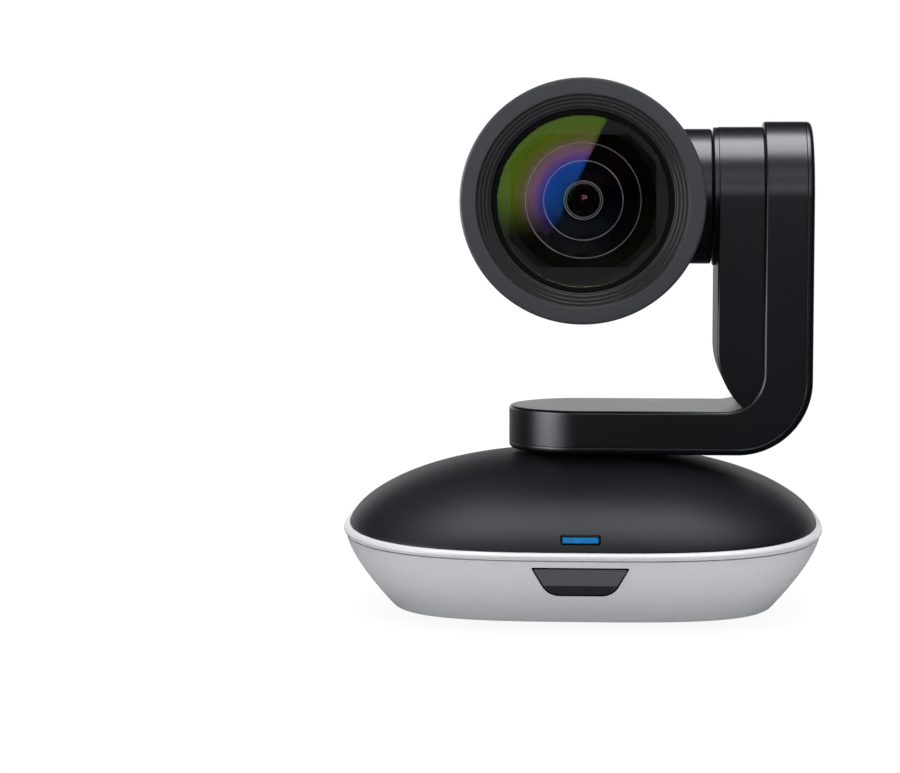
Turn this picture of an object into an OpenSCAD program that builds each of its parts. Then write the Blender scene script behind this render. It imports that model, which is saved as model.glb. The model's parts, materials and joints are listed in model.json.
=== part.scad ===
// Motorised conference camera: a domed base, an L-shaped arm that swivels on it, and a lens head
// that tilts on the arm. Millimetres. The origin is where the pan axis meets the table, +Z is up,
// the lens looks along -Y and the arm's upright stands on the +X side.

/* [Base] */
// Width of the base across its lip
base_w = 144.4; // [144:0.1:145]
// Depth of the base across its lip
base_d = 130; // [129.6:0.1:130.4]
// Squareness of the base's outline: 2 is an ellipse, more is squarer
base_n = 3.2; // [2.8:0.1:3.6]
// Height of the seam between the dome and the lip, at the sides
rim_z = 27.4; // [27:0.1:28]
// How much lower that seam lies at the front and back
rim_dip = 3; // [2.5:0.1:3.5]
// Height of the dome above its seam
dome_h = 20; // [19.6:0.1:20.2]
// Wall thickness of the base's shells
base_wall = 2.2; // [2:0.1:2.4]
// Height of the rubber feet
foot_h = 1.5; // [1.2:0.1:1.6]

/* [Arm] */
// Half the arm's depth, and the radius of both of its round ends
arm_r = 22.6; // [22.4:0.1:22.8]
// Underside of the arm's foot
arm_z0 = 47.8; // [47.7:0.1:48.2]
// Top of the arm's foot
arm_z1 = 60.9; // [60.5:0.1:61.5]
// Inner face of the upright
arm_x0 = 53.8; // [53.6:0.1:54]
// Outer face of the upright
arm_x1 = 68.4; // [68.2:0.1:69]
// Radius of the outer corner of the L
arm_corner_r = 22.3; // [21:0.1:23]
// Thickness of the outer cover
cover_t = 2.1; // [1.9:0.1:2.3]
// Inner face of the leaf-shaped cover
leaf_x0 = 40; // [39.8:0.1:40.2]

/* [Head] */
// Height of the tilt axis
tilt_z = 124.5; // [124:0.1:125]
// Height of the lens's axis
lens_z = 123.7; // [123:0.1:124.5]
// Outer radius of the front ring
ring_r = 36; // [35.6:0.1:36.4]
// Distance from the tilt axis to the front of the ring
ring_y = 38; // [37.6:0.1:38.4]
// Radius of the round hub on the tilt axis
hub_r = 20.4; // [20:0.1:20.6]
// Outer face of the hub
hub_x1 = 38.5; // [38.2:0.1:38.8]

/* [Drives] */
// Teeth of the pan gear
pan_teeth = 72; // [72:12:72]
// Teeth of the tilt gear
tilt_teeth = 54; // [54:12:54]
// Teeth of both pinions
pinion_teeth = 12; // [12:2:12]
// Gear module
gear_mod = 0.7; // [0.7:0.05:0.7]
// Play between meshing teeth
backlash = 0.12; // [0.1:0.01:0.16]
// Running clearance of a shaft in its bush, on the radius
run_gap = 0.05; // [0.03:0.01:0.08]

/* [Hidden] */

$fn = 64;
OUTLINE_STEPS = 64;
BLACK = "#1d1f23";
DARK = "#2b2d31";
SILVER = "#c9cacf";
STEEL = "#9a9c9f";
BRASS = "#b08d4a";
GREEN = "#1f5a3a";
MAGNET = "#6d7075";

seam = 0.12;                     // shadow gap between neighbouring covers
base_a = base_w / 2;
base_b = base_d / 2;
dome_a = base_a - 1.7;
dome_b = base_b - 1.5;
bowl_a = base_a - 0.7;
bowl_b = base_b - 0.5;
bowl_z = rim_z - 3;              // seam between the lip and the bowl, at the sides
bowl_dip = rim_dip - 0.6;
bowl_foot_z = 3;                 // where the bowl's wall meets its rounded bottom edge
bowl_drop = 13;                  // how far the bowl's wall draws in, across
bowl_drop_b = 15.5;              // the same, front to back
bowl_flare = 1.4;                // 1 is a straight wall, more draws in faster near its foot
dome_bulge = 2.4;                // how flat the dome stays near its middle
dome_edge = 0.75;                // how steeply it falls to its seam: 0.5 is upright
dome_hole_r = 12;
plate_z0 = foot_h;
plate_z1 = foot_h + 2.2;
plate_a = 49;                    // half width and half depth of the bottom plate
plate_b = 37;
plate_gap = 0.2;
plate_screw_x = 32;
plate_screw_y = 24;
plate_screw_r = 1.6;
insert_r = 5.5;
board_z = 9;
board_t = 1.6;
chassis_z0 = 34.8;
chassis_z1 = 37;
bearing_r = 10;                  // pan spindle
bush_t = 2.5;
gear_z = 38.5;
gear_w = 3;
pinion_w = 4;
post_x = 40;
post_y = 27;
pan_gear_r = pan_teeth * gear_mod / 2;
pinion_r = pinion_teeth * gear_mod / 2;
pan_centre = pan_gear_r + pinion_r;
tilt_gear_r = tilt_teeth * gear_mod / 2;
tilt_centre = tilt_gear_r + pinion_r;
motor_r = 10;
motor_shaft_r = 1.5;
arm_inner_r = 11.5;              // radius of the inner corner of the L
web_t = 2.2;
leaf_r = 21;
leaf_wall = 1.8;
leaf_tail_z = 79.6;              // where the leaf's straight edge turns into its tail
leaf_tail_r = 24.2;
flange_z = arm_z0 + cover_t + 0.2;
flange_t = 2.6;
SPINDLE_SCREWS = [30, 150, 270]; // angles of the screws that hold the arm to its spindle
spindle_screw_at = 13.2;
spindle_screw_r = 1.2;
collar_r = 19.9;                 // round collar on the leaf, facing the hub
collar_t = 1.1;
shaft_r = 6;
tilt_gear_x = 57.2;
hub_screw_at = 11.5;
hub_screw_r = 1.2;
glass_r = 25.2;
glass_y = -ring_y + 4.2;         // front face of the glass
glass_t = 1.4;
gasket_r = glass_r + 1.65;       // of the gasket and the black frame behind the glass
barrel_y0 = -30.4;
barrel_r = 18;
rod_x = 13;                      // guide rods of the zoom and focus groups
rod_r = 0.8;
rod_y0 = -17.2;
head_screw_at = 16;
head_screw_r = 1.5;
sensor_y = 17.5;
port_w = 38;
port_z0 = 7.5;
port_z1 = 17;
port_y = 45;
led_face_y = 61.5;
led_z = 27.8;
led_tilt = 35;                   // as the dome leans there
led_w = 11.3;
led_h = 3.1;
ir_top_z = 19.7;
ir_low_z = 11.1;
ir_half_top = 13.7;
ir_half_low = 7.2;               // to the centres of the lower corners
ir_corner_r = 2.2;
jack_x = -10;
jack_z = 12;

// ---------- outlines and rings ----------

function power_of(v, e) = sign(v) * pow(abs(v), e);

function superellipse(a, b, n) = [for (i = [0 : OUTLINE_STEPS - 1])
    let (t = 360 * i / OUTLINE_STEPS) [a * power_of(cos(t), 2 / n), b * power_of(sin(t), 2 / n)]];

// A ring is [half width, half depth, squareness, height at the sides, dip at front and back].
function ring_points(r) = [for (p = superellipse(r[0], r[1], r[2]))
    [p[0], p[1], r[3] - r[4] * pow(p[1] / r[1], 2)]];

// Closed shell whose section is the list of rings, the last joining the first.
module ring_solid(rings) {
    n = OUTLINE_STEPS;
    m = len(rings);
    points = [for (r = rings) each ring_points(r)];
    faces = [for (i = [0 : m - 1], j = [0 : n - 1])
        let (k = (i + 1) % m, next = (j + 1) % n)
        each [[i * n + j, k * n + next, i * n + next], [i * n + j, k * n + j, k * n + next]]];
    polyhedron(points, faces, convexity = 8);
}

// Upper surface of the dome, from its seam up to the hole for the spindle.
function dome_ring(r, inset) =
    let (u = r / dome_a,
         lift = pow(1 - pow(u, dome_bulge), dome_edge),
         squareness = 2 + (base_n - 2) * pow(u, 2))
    [r - inset, r * (dome_b / dome_a * pow(u, 0.3) + 1 - pow(u, 0.3)) - inset, squareness,
     rim_z + dome_h * lift - inset * (lift > 0 ? min(1, lift * 2) : 0),
     rim_dip * pow(u, 6)];

DOME_RADII = [dome_a, 70.2, 69, 67, 63.5, 58, 51, 42, 32, 22, dome_hole_r];

// Outer face of the bowl at height z, grown by grow.
function bowl_ring(z, grow) =
    let (s = pow((bowl_z - z) / (bowl_z - bowl_foot_z), bowl_flare))
    [bowl_a - bowl_drop * s + grow, bowl_b - bowl_drop_b * s + grow, base_n, z,
     bowl_dip * pow((z - bowl_foot_z) / (bowl_z - bowl_foot_z), 2)];

BOWL_HEIGHTS = [bowl_foot_z, 5, 8, 12, 16, 20, bowl_z];

// The span of this half width about c.
function around(c, half) = [c - half, c + half];

module bar(x, y, z) {
    translate([x[0], y[0], z[0]])
        cube([x[1] - x[0], y[1] - y[0], z[1] - z[0]]);
}

module four(x, y) {
    for (sx = [-1, 1], sy = [-1, 1])
        translate([sx * x, sy * y, 0])
            children();
}

// Ring about the vertical axis between two heights.
module tube(r_in, r_out, z0, z1) {
    translate([0, 0, z0])
        difference() {
            cylinder(r = r_out, h = z1 - z0);
            translate([0, 0, -1])
                cylinder(r = r_in, h = z1 - z0 + 2);
        }
}

// Turns a shape drawn along +Z so that it lies along +X at the tilt axis.
module along_tilt_axis() {
    translate([0, 0, tilt_z])
        rotate([90, 0, 90])
            children();
}

// Turns a shape drawn along +Z so that it lies along +Y at the lens's axis.
module along_lens_axis() {
    translate([0, 0, lens_z])
        rotate([-90, 0, 0])
            children();
}

// Body of revolution about the lens's axis: the points are [radius, y].
module lens_turning(points) {
    along_lens_axis()
        rotate_extrude($fn = 96)
            polygon(points);
}

// ---------- gears ----------

function involute(angle) = tan(angle) * 180 / PI - angle;

// Half the angle that a tooth takes at radius r, for a 25 degree pressure angle.
function half_tooth(teeth, r) =
    let (rp = teeth * gear_mod / 2, rb = rp * cos(25))
    90 / teeth - backlash / rp * 45 / PI + involute(25) - involute(acos(min(1, rb / r)));

function gear_outline(teeth) =
    let (rp = teeth * gear_mod / 2,
         tip = rp + 0.9 * gear_mod,
         root = rp - 1.2 * gear_mod,
         start = max(root, rp * cos(25)),
         flank = [for (k = [0 : 3]) start + (tip - start) * k / 3])
    [for (i = [0 : teeth - 1], side = [-1, 1], k = [0 : 4])
        let (step = side < 0 ? k : 4 - k,
             r = step == 0 ? root : flank[step - 1],
             a = 360 * i / teeth + side * half_tooth(teeth, max(r, start)) * (step == 0 ? 1.1 : 1))
        [r * cos(a), r * sin(a)]];

module spur_gear(teeth, width) {
    linear_extrude(width)
        polygon(gear_outline(teeth));
}

// ---------- base ----------

module base_lower_shell() {
    foot_edge = bowl_ring(bowl_foot_z, 0);
    color(SILVER)
        difference() {
            ring_solid(concat(
                [[foot_edge[0] - 2.6, foot_edge[1] - 2.6, base_n, plate_z0, 0],
                 [foot_edge[0] - 0.8, foot_edge[1] - 0.8, base_n, plate_z0 + 0.5, 0]],
                [for (z = BOWL_HEIGHTS) bowl_ring(z, 0)],
                [for (k = [len(BOWL_HEIGHTS) - 1 : -1 : 2]) bowl_ring(BOWL_HEIGHTS[k], -base_wall)],
                [bowl_ring(plate_z1 + 1.5, -base_wall - 0.8),
                 [plate_a + 4, plate_b + 4, base_n, plate_z1, 0],
                 [plate_a + plate_gap, plate_b + plate_gap, base_n, plate_z1, 0],
                 [plate_a + plate_gap, plate_b + plate_gap, base_n, plate_z0, 0]]));
            ir_prism(0.15, -80);
            bar([-port_w / 2 - 1.6, port_w / 2 + 1.6], [40, 80], [port_z0 - 1.6, port_z1 + 1.6]);
            lock_slot();
        }
}

// Security slot in the bowl's rear wall.
module lock_slot() {
    translate([36, 40, 14])
        rotate([-90, 0, 0])
            linear_extrude(30)
                hull() {
                    translate([-2, 0])
                        circle(r = 1.6, $fn = 24);
                    translate([2, 0])
                        circle(r = 1.6, $fn = 24);
                }
}

module rim_trim() {
    color(SILVER)
        ring_solid([
            bowl_ring(bowl_z, -2.6) + [0, 0, 0, seam, 0],
            bowl_ring(bowl_z, -0.1) + [0, 0, 0, seam, 0],
            [bowl_a + 0.4, bowl_b + 0.3, base_n, bowl_z + 0.35, bowl_dip + 0.1],
            [base_a, base_b, base_n, bowl_z + 1.1, bowl_dip + 0.25],
            [base_a - 0.25, base_b - 0.2, base_n, bowl_z + 1.9, bowl_dip + 0.4],
            [base_a - 1.2, base_b - 0.9, base_n, rim_z - 0.5, rim_dip - 0.05],
            [dome_a, dome_b, base_n, rim_z - seam, rim_dip],
            [dome_a - 2.6, dome_b - 2.6, base_n, rim_z - seam, rim_dip]]);
}

module base_top_cover() {
    color(BLACK)
        difference() {
            ring_solid(concat(
                [for (r = DOME_RADII) dome_ring(r, 0)],
                [for (k = [len(DOME_RADII) - 1 : -1 : 3]) dome_ring(DOME_RADII[k], base_wall)],
                [[dome_a - base_wall, dome_b - base_wall, base_n, rim_z + 1.5, rim_dip],
                 [dome_a - base_wall, dome_b - base_wall, base_n, rim_z, rim_dip]]));
            led_place()
                translate([0, 0, -3])
                    linear_extrude(9)
                        rounded_slot(led_w + 0.2, led_h + 0.2);
            tube(0, dome_hole_r, 40, 50);
        }
}

module rounded_slot(w, h) {
    hull() {
        translate([-(w - h) / 2, 0])
            circle(d = h, $fn = 32);
        translate([(w - h) / 2, 0])
            circle(d = h, $fn = 32);
    }
}

// Local frame of the status light: +Z points into the base.
module led_place() {
    translate([0, -led_face_y, led_z])
        rotate([-90 - led_tilt, 0, 0])
            children();
}

module led_bezel() {
    color(BLACK)
        led_place()
            difference() {
                linear_extrude(3.6)
                    rounded_slot(led_w, led_h);
                translate([0, 0, -1])
                    linear_extrude(6)
                        rounded_slot(led_w - 0.9, led_h - 1.3);
            }
}

module led_light_pipe() {
    color("#1a86c8")
        led_place()
            translate([0, 0, 0.15])
                linear_extrude(5)
                    rounded_slot(led_w - 1, led_h - 1.4);
}

module led_board() {
    color(GREEN)
        led_place() {
            translate([-8, -3.5, 6.8])
                cube([16, 7, 1.2]);
            translate([-2.5, -0.7, 5.3])
                cube([5, 1.4, 1.6]);
        }
}

// Rounded lower corner of the infrared window, centred at x, from this angle on.
function ir_corner(x, start) = [for (a = [start : 23 : start + 70])
    [x + ir_corner_r * cos(a), ir_corner_r + ir_corner_r * sin(a)]];

// Trapezoid through the front wall, for the infrared window, grown by grow.
module ir_prism(grow, y0) {
    h = ir_top_z - ir_low_z;
    translate([0, y0, ir_low_z])
        rotate([90, 0, 180])
            mirror([0, 0, 1])
                translate([0, 0, -40])
                    linear_extrude(40)
                        offset(delta = grow)
                            polygon(concat([[ir_half_top, h], [-ir_half_top, h]],
                                ir_corner(-ir_half_low, 200), ir_corner(ir_half_low, 270)));
}

module ir_window() {
    color("#3c3d41")
        intersection() {
            ring_solid(concat(
                [for (z = BOWL_HEIGHTS) bowl_ring(z, 0.25)],
                [for (k = [len(BOWL_HEIGHTS) - 1 : -1 : 0]) bowl_ring(BOWL_HEIGHTS[k], -1.4)]));
            ir_prism(0, -80);
        }
}

module ir_receiver() {
    color(DARK)
        union() {
            bar([-3, 3], [-46, -42], [board_z + board_t, 19]);
            translate([0, -46, 15.5])
                sphere(r = 2.4);
        }
}

module bottom_plate() {
    color(DARK)
        difference() {
            translate([0, 0, plate_z0])
                linear_extrude(plate_z1 - plate_z0)
                    polygon(superellipse(plate_a, plate_b, base_n));
            tube(0, insert_r, 0, 20);
            four(plate_screw_x, plate_screw_y)
                cylinder(r = plate_screw_r, h = 20);
        }
}

module rubber_feet() {
    color("#202022")
        four(38, 22)
            cylinder(r = 6, h = plate_z0);
}

module base_screws() {
    color(STEEL)
        four(plate_screw_x, plate_screw_y)
            translate([0, 0, plate_z0 + 0.1])
                difference() {
                    cylinder(r = plate_screw_r, h = 7);
                    translate([0, 0, -0.1])
                        cylinder(r = 0.8, h = 1, $fn = 6);
                }
}

// Threaded brass insert for a tripod screw: the bore has the thread's core radius.
module tripod_insert() {
    color(BRASS)
        difference() {
            translate([0, 0, plate_z0])
                cylinder(r = insert_r, h = 6.8);
            translate([0, 0, plate_z0 - 1])
                cylinder(r = 2.6, h = 6.8);
        }
}

module ballast_plate() {
    color(STEEL)
        difference() {
            bar([-38, 38], [-28, 26], [plate_z1, plate_z1 + 3]);
            tube(0, insert_r + 0.5, 0, 20);
            four(plate_screw_x, plate_screw_y)
                cylinder(r = plate_screw_r, h = 20);
            four(post_x, post_y)
                cylinder(r = 5, h = 20);
        }
}

module lower_standoffs() {
    color(BRASS)
        four(post_x, post_y)
            translate([0, 0, plate_z1])
                cylinder(r = 3.2, h = board_z - plate_z1, $fn = 6);
}

module main_board() {
    chips = [[-22, -14, 14, 14, 1.4], [6, -16, 10, 10, 1.2], [-24, 8, 8, 12, 1.2], [12, 4, 12, 6, 2.6],
        [22, -18, 6, 6, 4.5], [-4, 12, 9, 5, 2.2]];
    color(GREEN) {
        difference() {
            bar([-44, 44], [-31, 32], [board_z, board_z + board_t]);
            four(post_x, post_y)
                cylinder(r = 1.6, h = 20);
        }
        bar([-5, 5], [-46, -30.9], [board_z, board_z + board_t]);
        bar([-19, 19], [31.9, 36.5], [board_z, board_z + board_t]);
    }
    for (c = chips)
        color(DARK)
            translate([c[0], c[1], board_z + board_t])
                cube([c[2], c[3], c[4]]);
}

module chassis_posts() {
    color(BRASS)
        four(post_x, post_y)
            tube(1.3, 3.2, board_z + board_t, chassis_z0);
}

module pan_chassis() {
    color(STEEL)
        difference() {
            union() {
                translate([0, 0, chassis_z0])
                    linear_extrude(chassis_z1 - chassis_z0)
                        polygon(superellipse(47, 35, 3.4));
                translate([0, 0, 28])
                    cylinder(r = 15, h = chassis_z0 - 28 + 0.1);
            }
            tube(0, bearing_r + run_gap + bush_t, 20, 50);
            translate([-pan_centre, 0, 30])
                cylinder(r = 3, h = 20);
            four(post_x, post_y)
                cylinder(r = 1.3, h = 60);
        }
}

module chassis_screws() {
    color(STEEL)
        four(post_x, post_y) {
            translate([0, 0, chassis_z1 - 12])
                cylinder(r = 1.3, h = 12);
            translate([0, 0, chassis_z1])
                cylinder(r = 2.4, h = 0.5);
        }
}

module pan_bush() {
    color(BRASS)
        tube(bearing_r + run_gap, bearing_r + run_gap + bush_t, 28, chassis_z1);
}

module thrust_washer() {
    color("#d8d4c8")
        tube(bearing_r + run_gap, 14, chassis_z1, chassis_z1 + 0.5);
}

// Stepper motor drawn with its mounting face at z = 0 and its body below.
module motor(length) {
    color(STEEL)
        difference() {
            union() {
                translate([0, 0, -length])
                    cylinder(r = motor_r, h = length);
                translate([-motor_r - 1.5, -4, -length])
                    cube([4, 8, 6]);
            }
            translate([0, 0, -5])
                cylinder(r = motor_shaft_r + run_gap, h = 10);
        }
}

module pan_motor() {
    translate([-pan_centre, 0, chassis_z0])
        motor(14);
}

// Pinion with its own shaft: the shaft starts at z = 0 and the teeth at z = start.
module pinion(start, turn) {
    color(BRASS) {
        cylinder(r = motor_shaft_r, h = start + pinion_w);
        translate([0, 0, start])
            rotate(turn)
                spur_gear(pinion_teeth, pinion_w);
    }
}

module pan_pinion() {
    translate([-pan_centre, 0, chassis_z0 - 4.8])
        pinion(gear_z - 0.5 - chassis_z0 + 4.8, 180 / pinion_teeth);
}

// Recess in the rear wall that the sockets look out of.
module port_tray() {
    color(DARK)
        difference() {
            translate([-port_w / 2 - 1.5, 0, 0])
                rotate([90, 0, 90])
                    linear_extrude(port_w + 3)
                        polygon([[port_y, port_z0 - 1.5], [port_y, port_z1 + 1.5],
                            [0.985 * bowl_ring(port_z1 + 1.5, 0)[1], port_z1 + 1.5],
                            [0.985 * bowl_ring(port_z0 - 1.5, 0)[1], port_z0 - 1.5]]);
            bar([-port_w / 2, port_w / 2], [port_y + 1.5, 80], [port_z0, port_z1]);
            power_jack_hole();
            usb_hole();
        }
}

module power_jack_hole() {
    translate([jack_x, port_y - 1, jack_z])
        rotate([-90, 0, 0])
            cylinder(r = 4.2, h = 4);
}

module usb_hole() {
    bar([4.8, 15.2], [port_y - 1, port_y + 3], [10, 14]);
}

module power_jack() {
    color(DARK)
        difference() {
            union() {
                bar(around(jack_x, 5), [36.6, port_y], [board_z - 1, 16.5]);
                translate([jack_x, port_y - 0.1, jack_z])
                    rotate([-90, 0, 0])
                        cylinder(r = 4.1, h = 1.6);
            }
            translate([jack_x, port_y - 8, jack_z])
                rotate([-90, 0, 0])
                    cylinder(r = 3.1, h = 20);
        }
    color(STEEL)
        translate([jack_x, port_y - 8.5, jack_z])
            rotate([-90, 0, 0])
                cylinder(r = 0.9, h = 8.5);
}

module usb_port() {
    color(STEEL)
        difference() {
            bar([5, 15], [36.6, port_y + 1.4], [board_z + board_t, 13.8]);
            bar([5.5, 14.5], [port_y - 6, port_y + 3], [10.95, 13.45]);
        }
    color(DARK)
        bar([6.5, 13.5], [port_y - 6.5, port_y + 0.6], [11.9, 12.5]);
}

// ---------- arm ----------

// The L in the X-Z plane. The outer outline is drawn in by outer, the inner one by inner.
module arm_section(outer, inner) {
    difference() {
        arm_block(outer);
        arm_notch(inner);
    }
}

module arm_block(outer) {
    r = arm_corner_r - outer;
    x = arm_x1 - arm_corner_r;
    z = arm_z0 + arm_corner_r;
    translate([-60, z])
        square([60 + arm_x1 - outer, 160 - z]);
    translate([-60, arm_z0 + outer])
        square([60 + x, r + 1]);
    translate([x, z])
        circle(r = r, $fn = 96);
}

module arm_notch(inner) {
    x = arm_x0 - arm_inner_r;
    z = arm_z1 + arm_inner_r;
    translate([-80, z])
        square([80 + arm_x0 + inner, 200 - z]);
    translate([-80, arm_z1 - inner])
        square([80 + x, arm_inner_r + inner + 1]);
    translate([x, z])
        circle(r = arm_inner_r + inner, $fn = 96);
}

// A section in the X-Z plane, drawn out front to back and rounded at the arm's two ends.
module arm_solid(r, end_inset) {
    intersection() {
        translate([0, 40, 0])
            rotate([90, 0, 0])
                linear_extrude(80)
                    children();
        upright_outline(r, -60, 90);
        translate([0, 0, 20]) {
            cylinder(r = arm_r - end_inset, h = 160, $fn = 96);
            translate([0, -40, 0])
                cube([100, 80, 160]);
        }
    }
}

// The upright's outline in the Y-Z plane: a round top about the tilt axis and straight sides.
module upright_outline(r, x0, x1) {
    translate([x0, 0, tilt_z])
        rotate([90, 0, 90])
            cylinder(r = r, h = x1 - x0, $fn = 96);
    bar([x0, x1], [-r, r], [20, tilt_z]);
}

module arm_shell() {
    color(BLACK)
        difference() {
            union() {
                difference() {
                    arm_solid(arm_r, 0)
                        arm_section(cover_t + seam, 0);
                    arm_solid(arm_r - web_t, web_t)
                        arm_section(-2, web_t);
                }
                along_tilt_axis()
                    translate([0, 0, 47])
                        cylinder(r = 11, h = arm_x0 + web_t - 47);
                for (a = SPINDLE_SCREWS)
                    rotate(a)
                        translate([spindle_screw_at, 0, flange_z + flange_t])
                            cylinder(r = 2.6, h = arm_z1 - 1 - flange_z - flange_t);
            }
            along_tilt_axis()
                cylinder(r = shaft_r + run_gap + 2, h = 80);
            translate([0, 0, tilt_z - tilt_centre])
                rotate([0, 90, 0])
                    cylinder(r = 3, h = 60);
            for (a = SPINDLE_SCREWS)
                rotate(a)
                    translate([spindle_screw_at, 0, 45])
                        cylinder(r = spindle_screw_r, h = 13.5);
        }
}

module arm_cover() {
    color(BLACK)
        difference() {
            arm_solid(arm_r, 0)
                difference() {
                    arm_block(0);
                    arm_block(cover_t);
                }
            tube(0, bearing_r + 0.8, 40, 60);
        }
}

// The leaf-shaped cover in the X-Z plane, drawn in by inset. Its hollow is open to the upright.
module leaf_section(inset) {
    intersection() {
        arm_notch(inset > 0 ? 1 : 0);
        union() {
            translate([leaf_x0 + inset, leaf_tail_z])
                square([30, 80]);
            translate([leaf_x0 + leaf_tail_r, leaf_tail_z])
                circle(r = leaf_tail_r - inset, $fn = 96);
        }
    }
}

module leaf_solid(r, inset) {
    intersection() {
        translate([0, 40, 0])
            rotate([90, 0, 0])
                linear_extrude(80)
                    leaf_section(inset);
        upright_outline(r, 0, 90);
    }
}

module arm_inner_cover() {
    color(BLACK)
        difference() {
            union() {
                leaf_solid(leaf_r, 0);
                along_tilt_axis()
                    translate([0, 0, leaf_x0 - collar_t])
                        cylinder(r = collar_r, h = collar_t + 0.1);
            }
            leaf_solid(leaf_r - leaf_wall, leaf_wall);
            along_tilt_axis()
                cylinder(r = shaft_r + 0.8, h = 60);
        }
}

module pan_spindle() {
    color(STEEL)
        difference() {
            union() {
                tube(6.5, bearing_r, 26, flange_z + 0.1);
                tube(6.5, 17, flange_z, flange_z + flange_t);
            }
            for (a = SPINDLE_SCREWS)
                rotate(a)
                    translate([spindle_screw_at, 0, 45])
                        cylinder(r = spindle_screw_r, h = 12);
        }
}

module pan_gear() {
    color("#e4e1d6")
        difference() {
            union() {
                translate([0, 0, gear_z])
                    spur_gear(pan_teeth, gear_w);
                tube(bearing_r, 14, gear_z - 0.9, gear_z + gear_w + 1);
            }
            tube(0, bearing_r, 30, 50);
            for (a = [0 : 60 : 300])
                rotate(a)
                    translate([19, 0, 30])
                        cylinder(r = 3, h = 20);
        }
}

module spindle_clip() {
    color(STEEL)
        tube(bearing_r, 13, 26.4, 27.7);
}

module spindle_screws() {
    color(STEEL)
        for (a = SPINDLE_SCREWS)
            rotate(a)
                translate([spindle_screw_at, 0, flange_z - 0.1])
                    cylinder(r = spindle_screw_r, h = 8);
}

module tilt_bush() {
    color(BRASS)
        along_tilt_axis()
            tube(shaft_r + run_gap, shaft_r + run_gap + 2, 47, arm_x0 + web_t);
}

module tilt_motor() {
    translate([arm_x0, 0, tilt_z - tilt_centre])
        rotate([0, 90, 0])
            motor(11);
}

module tilt_pinion() {
    translate([arm_x0 - 4.8, 0, tilt_z - tilt_centre])
        rotate([90, 0, 90])
            pinion(tilt_gear_x - 0.5 - arm_x0 + 4.8, 0);
}

// Wiring that runs up the hollow spindle, through the arm and into the hollow tilt shaft.
module arm_harness() {
    route = [[0, 0, 28], [0, 0, 55], [5, 0, 55], [5, 14, 55], [48, 14, 54.5], [62.5, 14, 70],
        [62.5, 14, 96], [64, 14, 102], [64, 5, 120], [64, 0, 123], [64, 0, tilt_z], [44, 0, tilt_z]];
    color("#303030")
        for (k = [1 : len(route) - 1])
            let (a = route[k - 1], step = route[k] - a, length = norm(step)) {
                translate(a)
                    rotate([0, acos(step[2] / length), atan2(step[1], step[0])])
                        cylinder(r = 1.2, h = length, $fn = 24);
                translate(route[k])
                    sphere(r = 1.35, $fn = 24);
            }
}

// ---------- head ----------

module front_ring() {
    step_r = 1.08;
    step_y = 0.8;
    ridges = [for (k = [0 : 4]) each [
        [ring_r - 4.8 - step_r * k, -ring_y + step_y * k],
        [ring_r - 4.8 - step_r * k, -ring_y + step_y * (k + 1)]]];
    color("#3a3c40")
        lens_turning(concat(
            [[ring_r - 0.9, -ring_y], [ring_r - 0.25, -ring_y + 0.3], [ring_r, -ring_y + 1],
             [ring_r - 0.9, -27.2], [ring_r - 4.2, -27.2], [ring_r - 4.2, -29],
             [glass_r + 1.7, -29]],
            [for (k = [len(ridges) - 1 : -1 : 0]) ridges[k]]));
}

module front_glass() {
    color([0.1, 0.12, 0.14, 0.5])
        lens_turning([[0, glass_y], [glass_r - 0.3, glass_y], [glass_r, glass_y + 0.3],
            [glass_r, glass_y + glass_t], [0, glass_y + glass_t]]);
}

module glass_gasket() {
    color(BLACK)
        lens_turning([[glass_r, glass_y + 0.5], [gasket_r, glass_y + 0.5],
            [gasket_r, glass_y + glass_t], [glass_r, glass_y + glass_t]]);
}

// Black frame behind the glass, with a squarish opening that has cut corners.
module lens_mask() {
    half_w = 21.4;
    half_h = 19.4;
    cut = 8;
    color(BLACK)
        difference() {
            lens_turning([[0, glass_y + glass_t], [gasket_r, glass_y + glass_t],
                [gasket_r, barrel_y0 - 0.4], [0, barrel_y0 - 0.4]]);
            translate([0, -20, lens_z])
                rotate([90, 0, 0])
                    linear_extrude(30)
                        intersection() {
                            square([2 * half_w, 2 * half_h], center = true);
                            rotate(45)
                                square((half_w + half_h - cut) * sqrt(2), center = true);
                        }
        }
}

// Lens element with two spherical faces, axis along Y. The centres lie on the lens's axis.
module lens_element(r, y_front, y_back, front_r, back_r) {
    intersection() {
        translate([0, y_front + front_r, lens_z])
            sphere(r = front_r, $fn = 96);
        translate([0, y_back - back_r, lens_z])
            sphere(r = back_r, $fn = 96);
        along_lens_axis()
            translate([0, 0, y_front - 1])
                cylinder(r = r, h = y_back - y_front + 2);
    }
}

module front_lens() {
    color([0.2, 0.25, 0.3, 0.5])
        lens_element(21.6, barrel_y0 + 0.3, barrel_y0 + 9.3, 48, 90);
}

module lens_retainer() {
    color(DARK)
        lens_turning([[21.7, barrel_y0], [23.9, barrel_y0], [23.9, barrel_y0 + 8.2],
            [21.7, barrel_y0 + 8.2]]);
}

module lens_barrel() {
    color(DARK)
        lens_turning([[23.9, barrel_y0 + 1], [25, barrel_y0 + 1], [25, -21], [barrel_r, -20.8],
            [barrel_r, sensor_y], [5, sensor_y], [5, sensor_y - 1.5], [barrel_r - 2, sensor_y - 1.5],
            [barrel_r - 2, -20], [21.5, -21.9], [23.9, -22]]);
}

module barrel_baffle() {
    color(BLACK)
        lens_turning([[16, -19.9], [16, -18.2], [11.4, -17.4], [11.4, -18.1], [15.4, -19.9]]);
}

module iris_cell() {
    color(DARK)
        difference() {
            lens_turning([[4.5, 1], [barrel_r - 2, 1], [barrel_r - 2, 3.5], [4.5, 3.5]]);
            rod_places(rod_r);
        }
    color([0.25, 0.3, 0.35, 0.5])
        lens_element(4.5, 0.8, 3.7, 20, 20);
}

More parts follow.
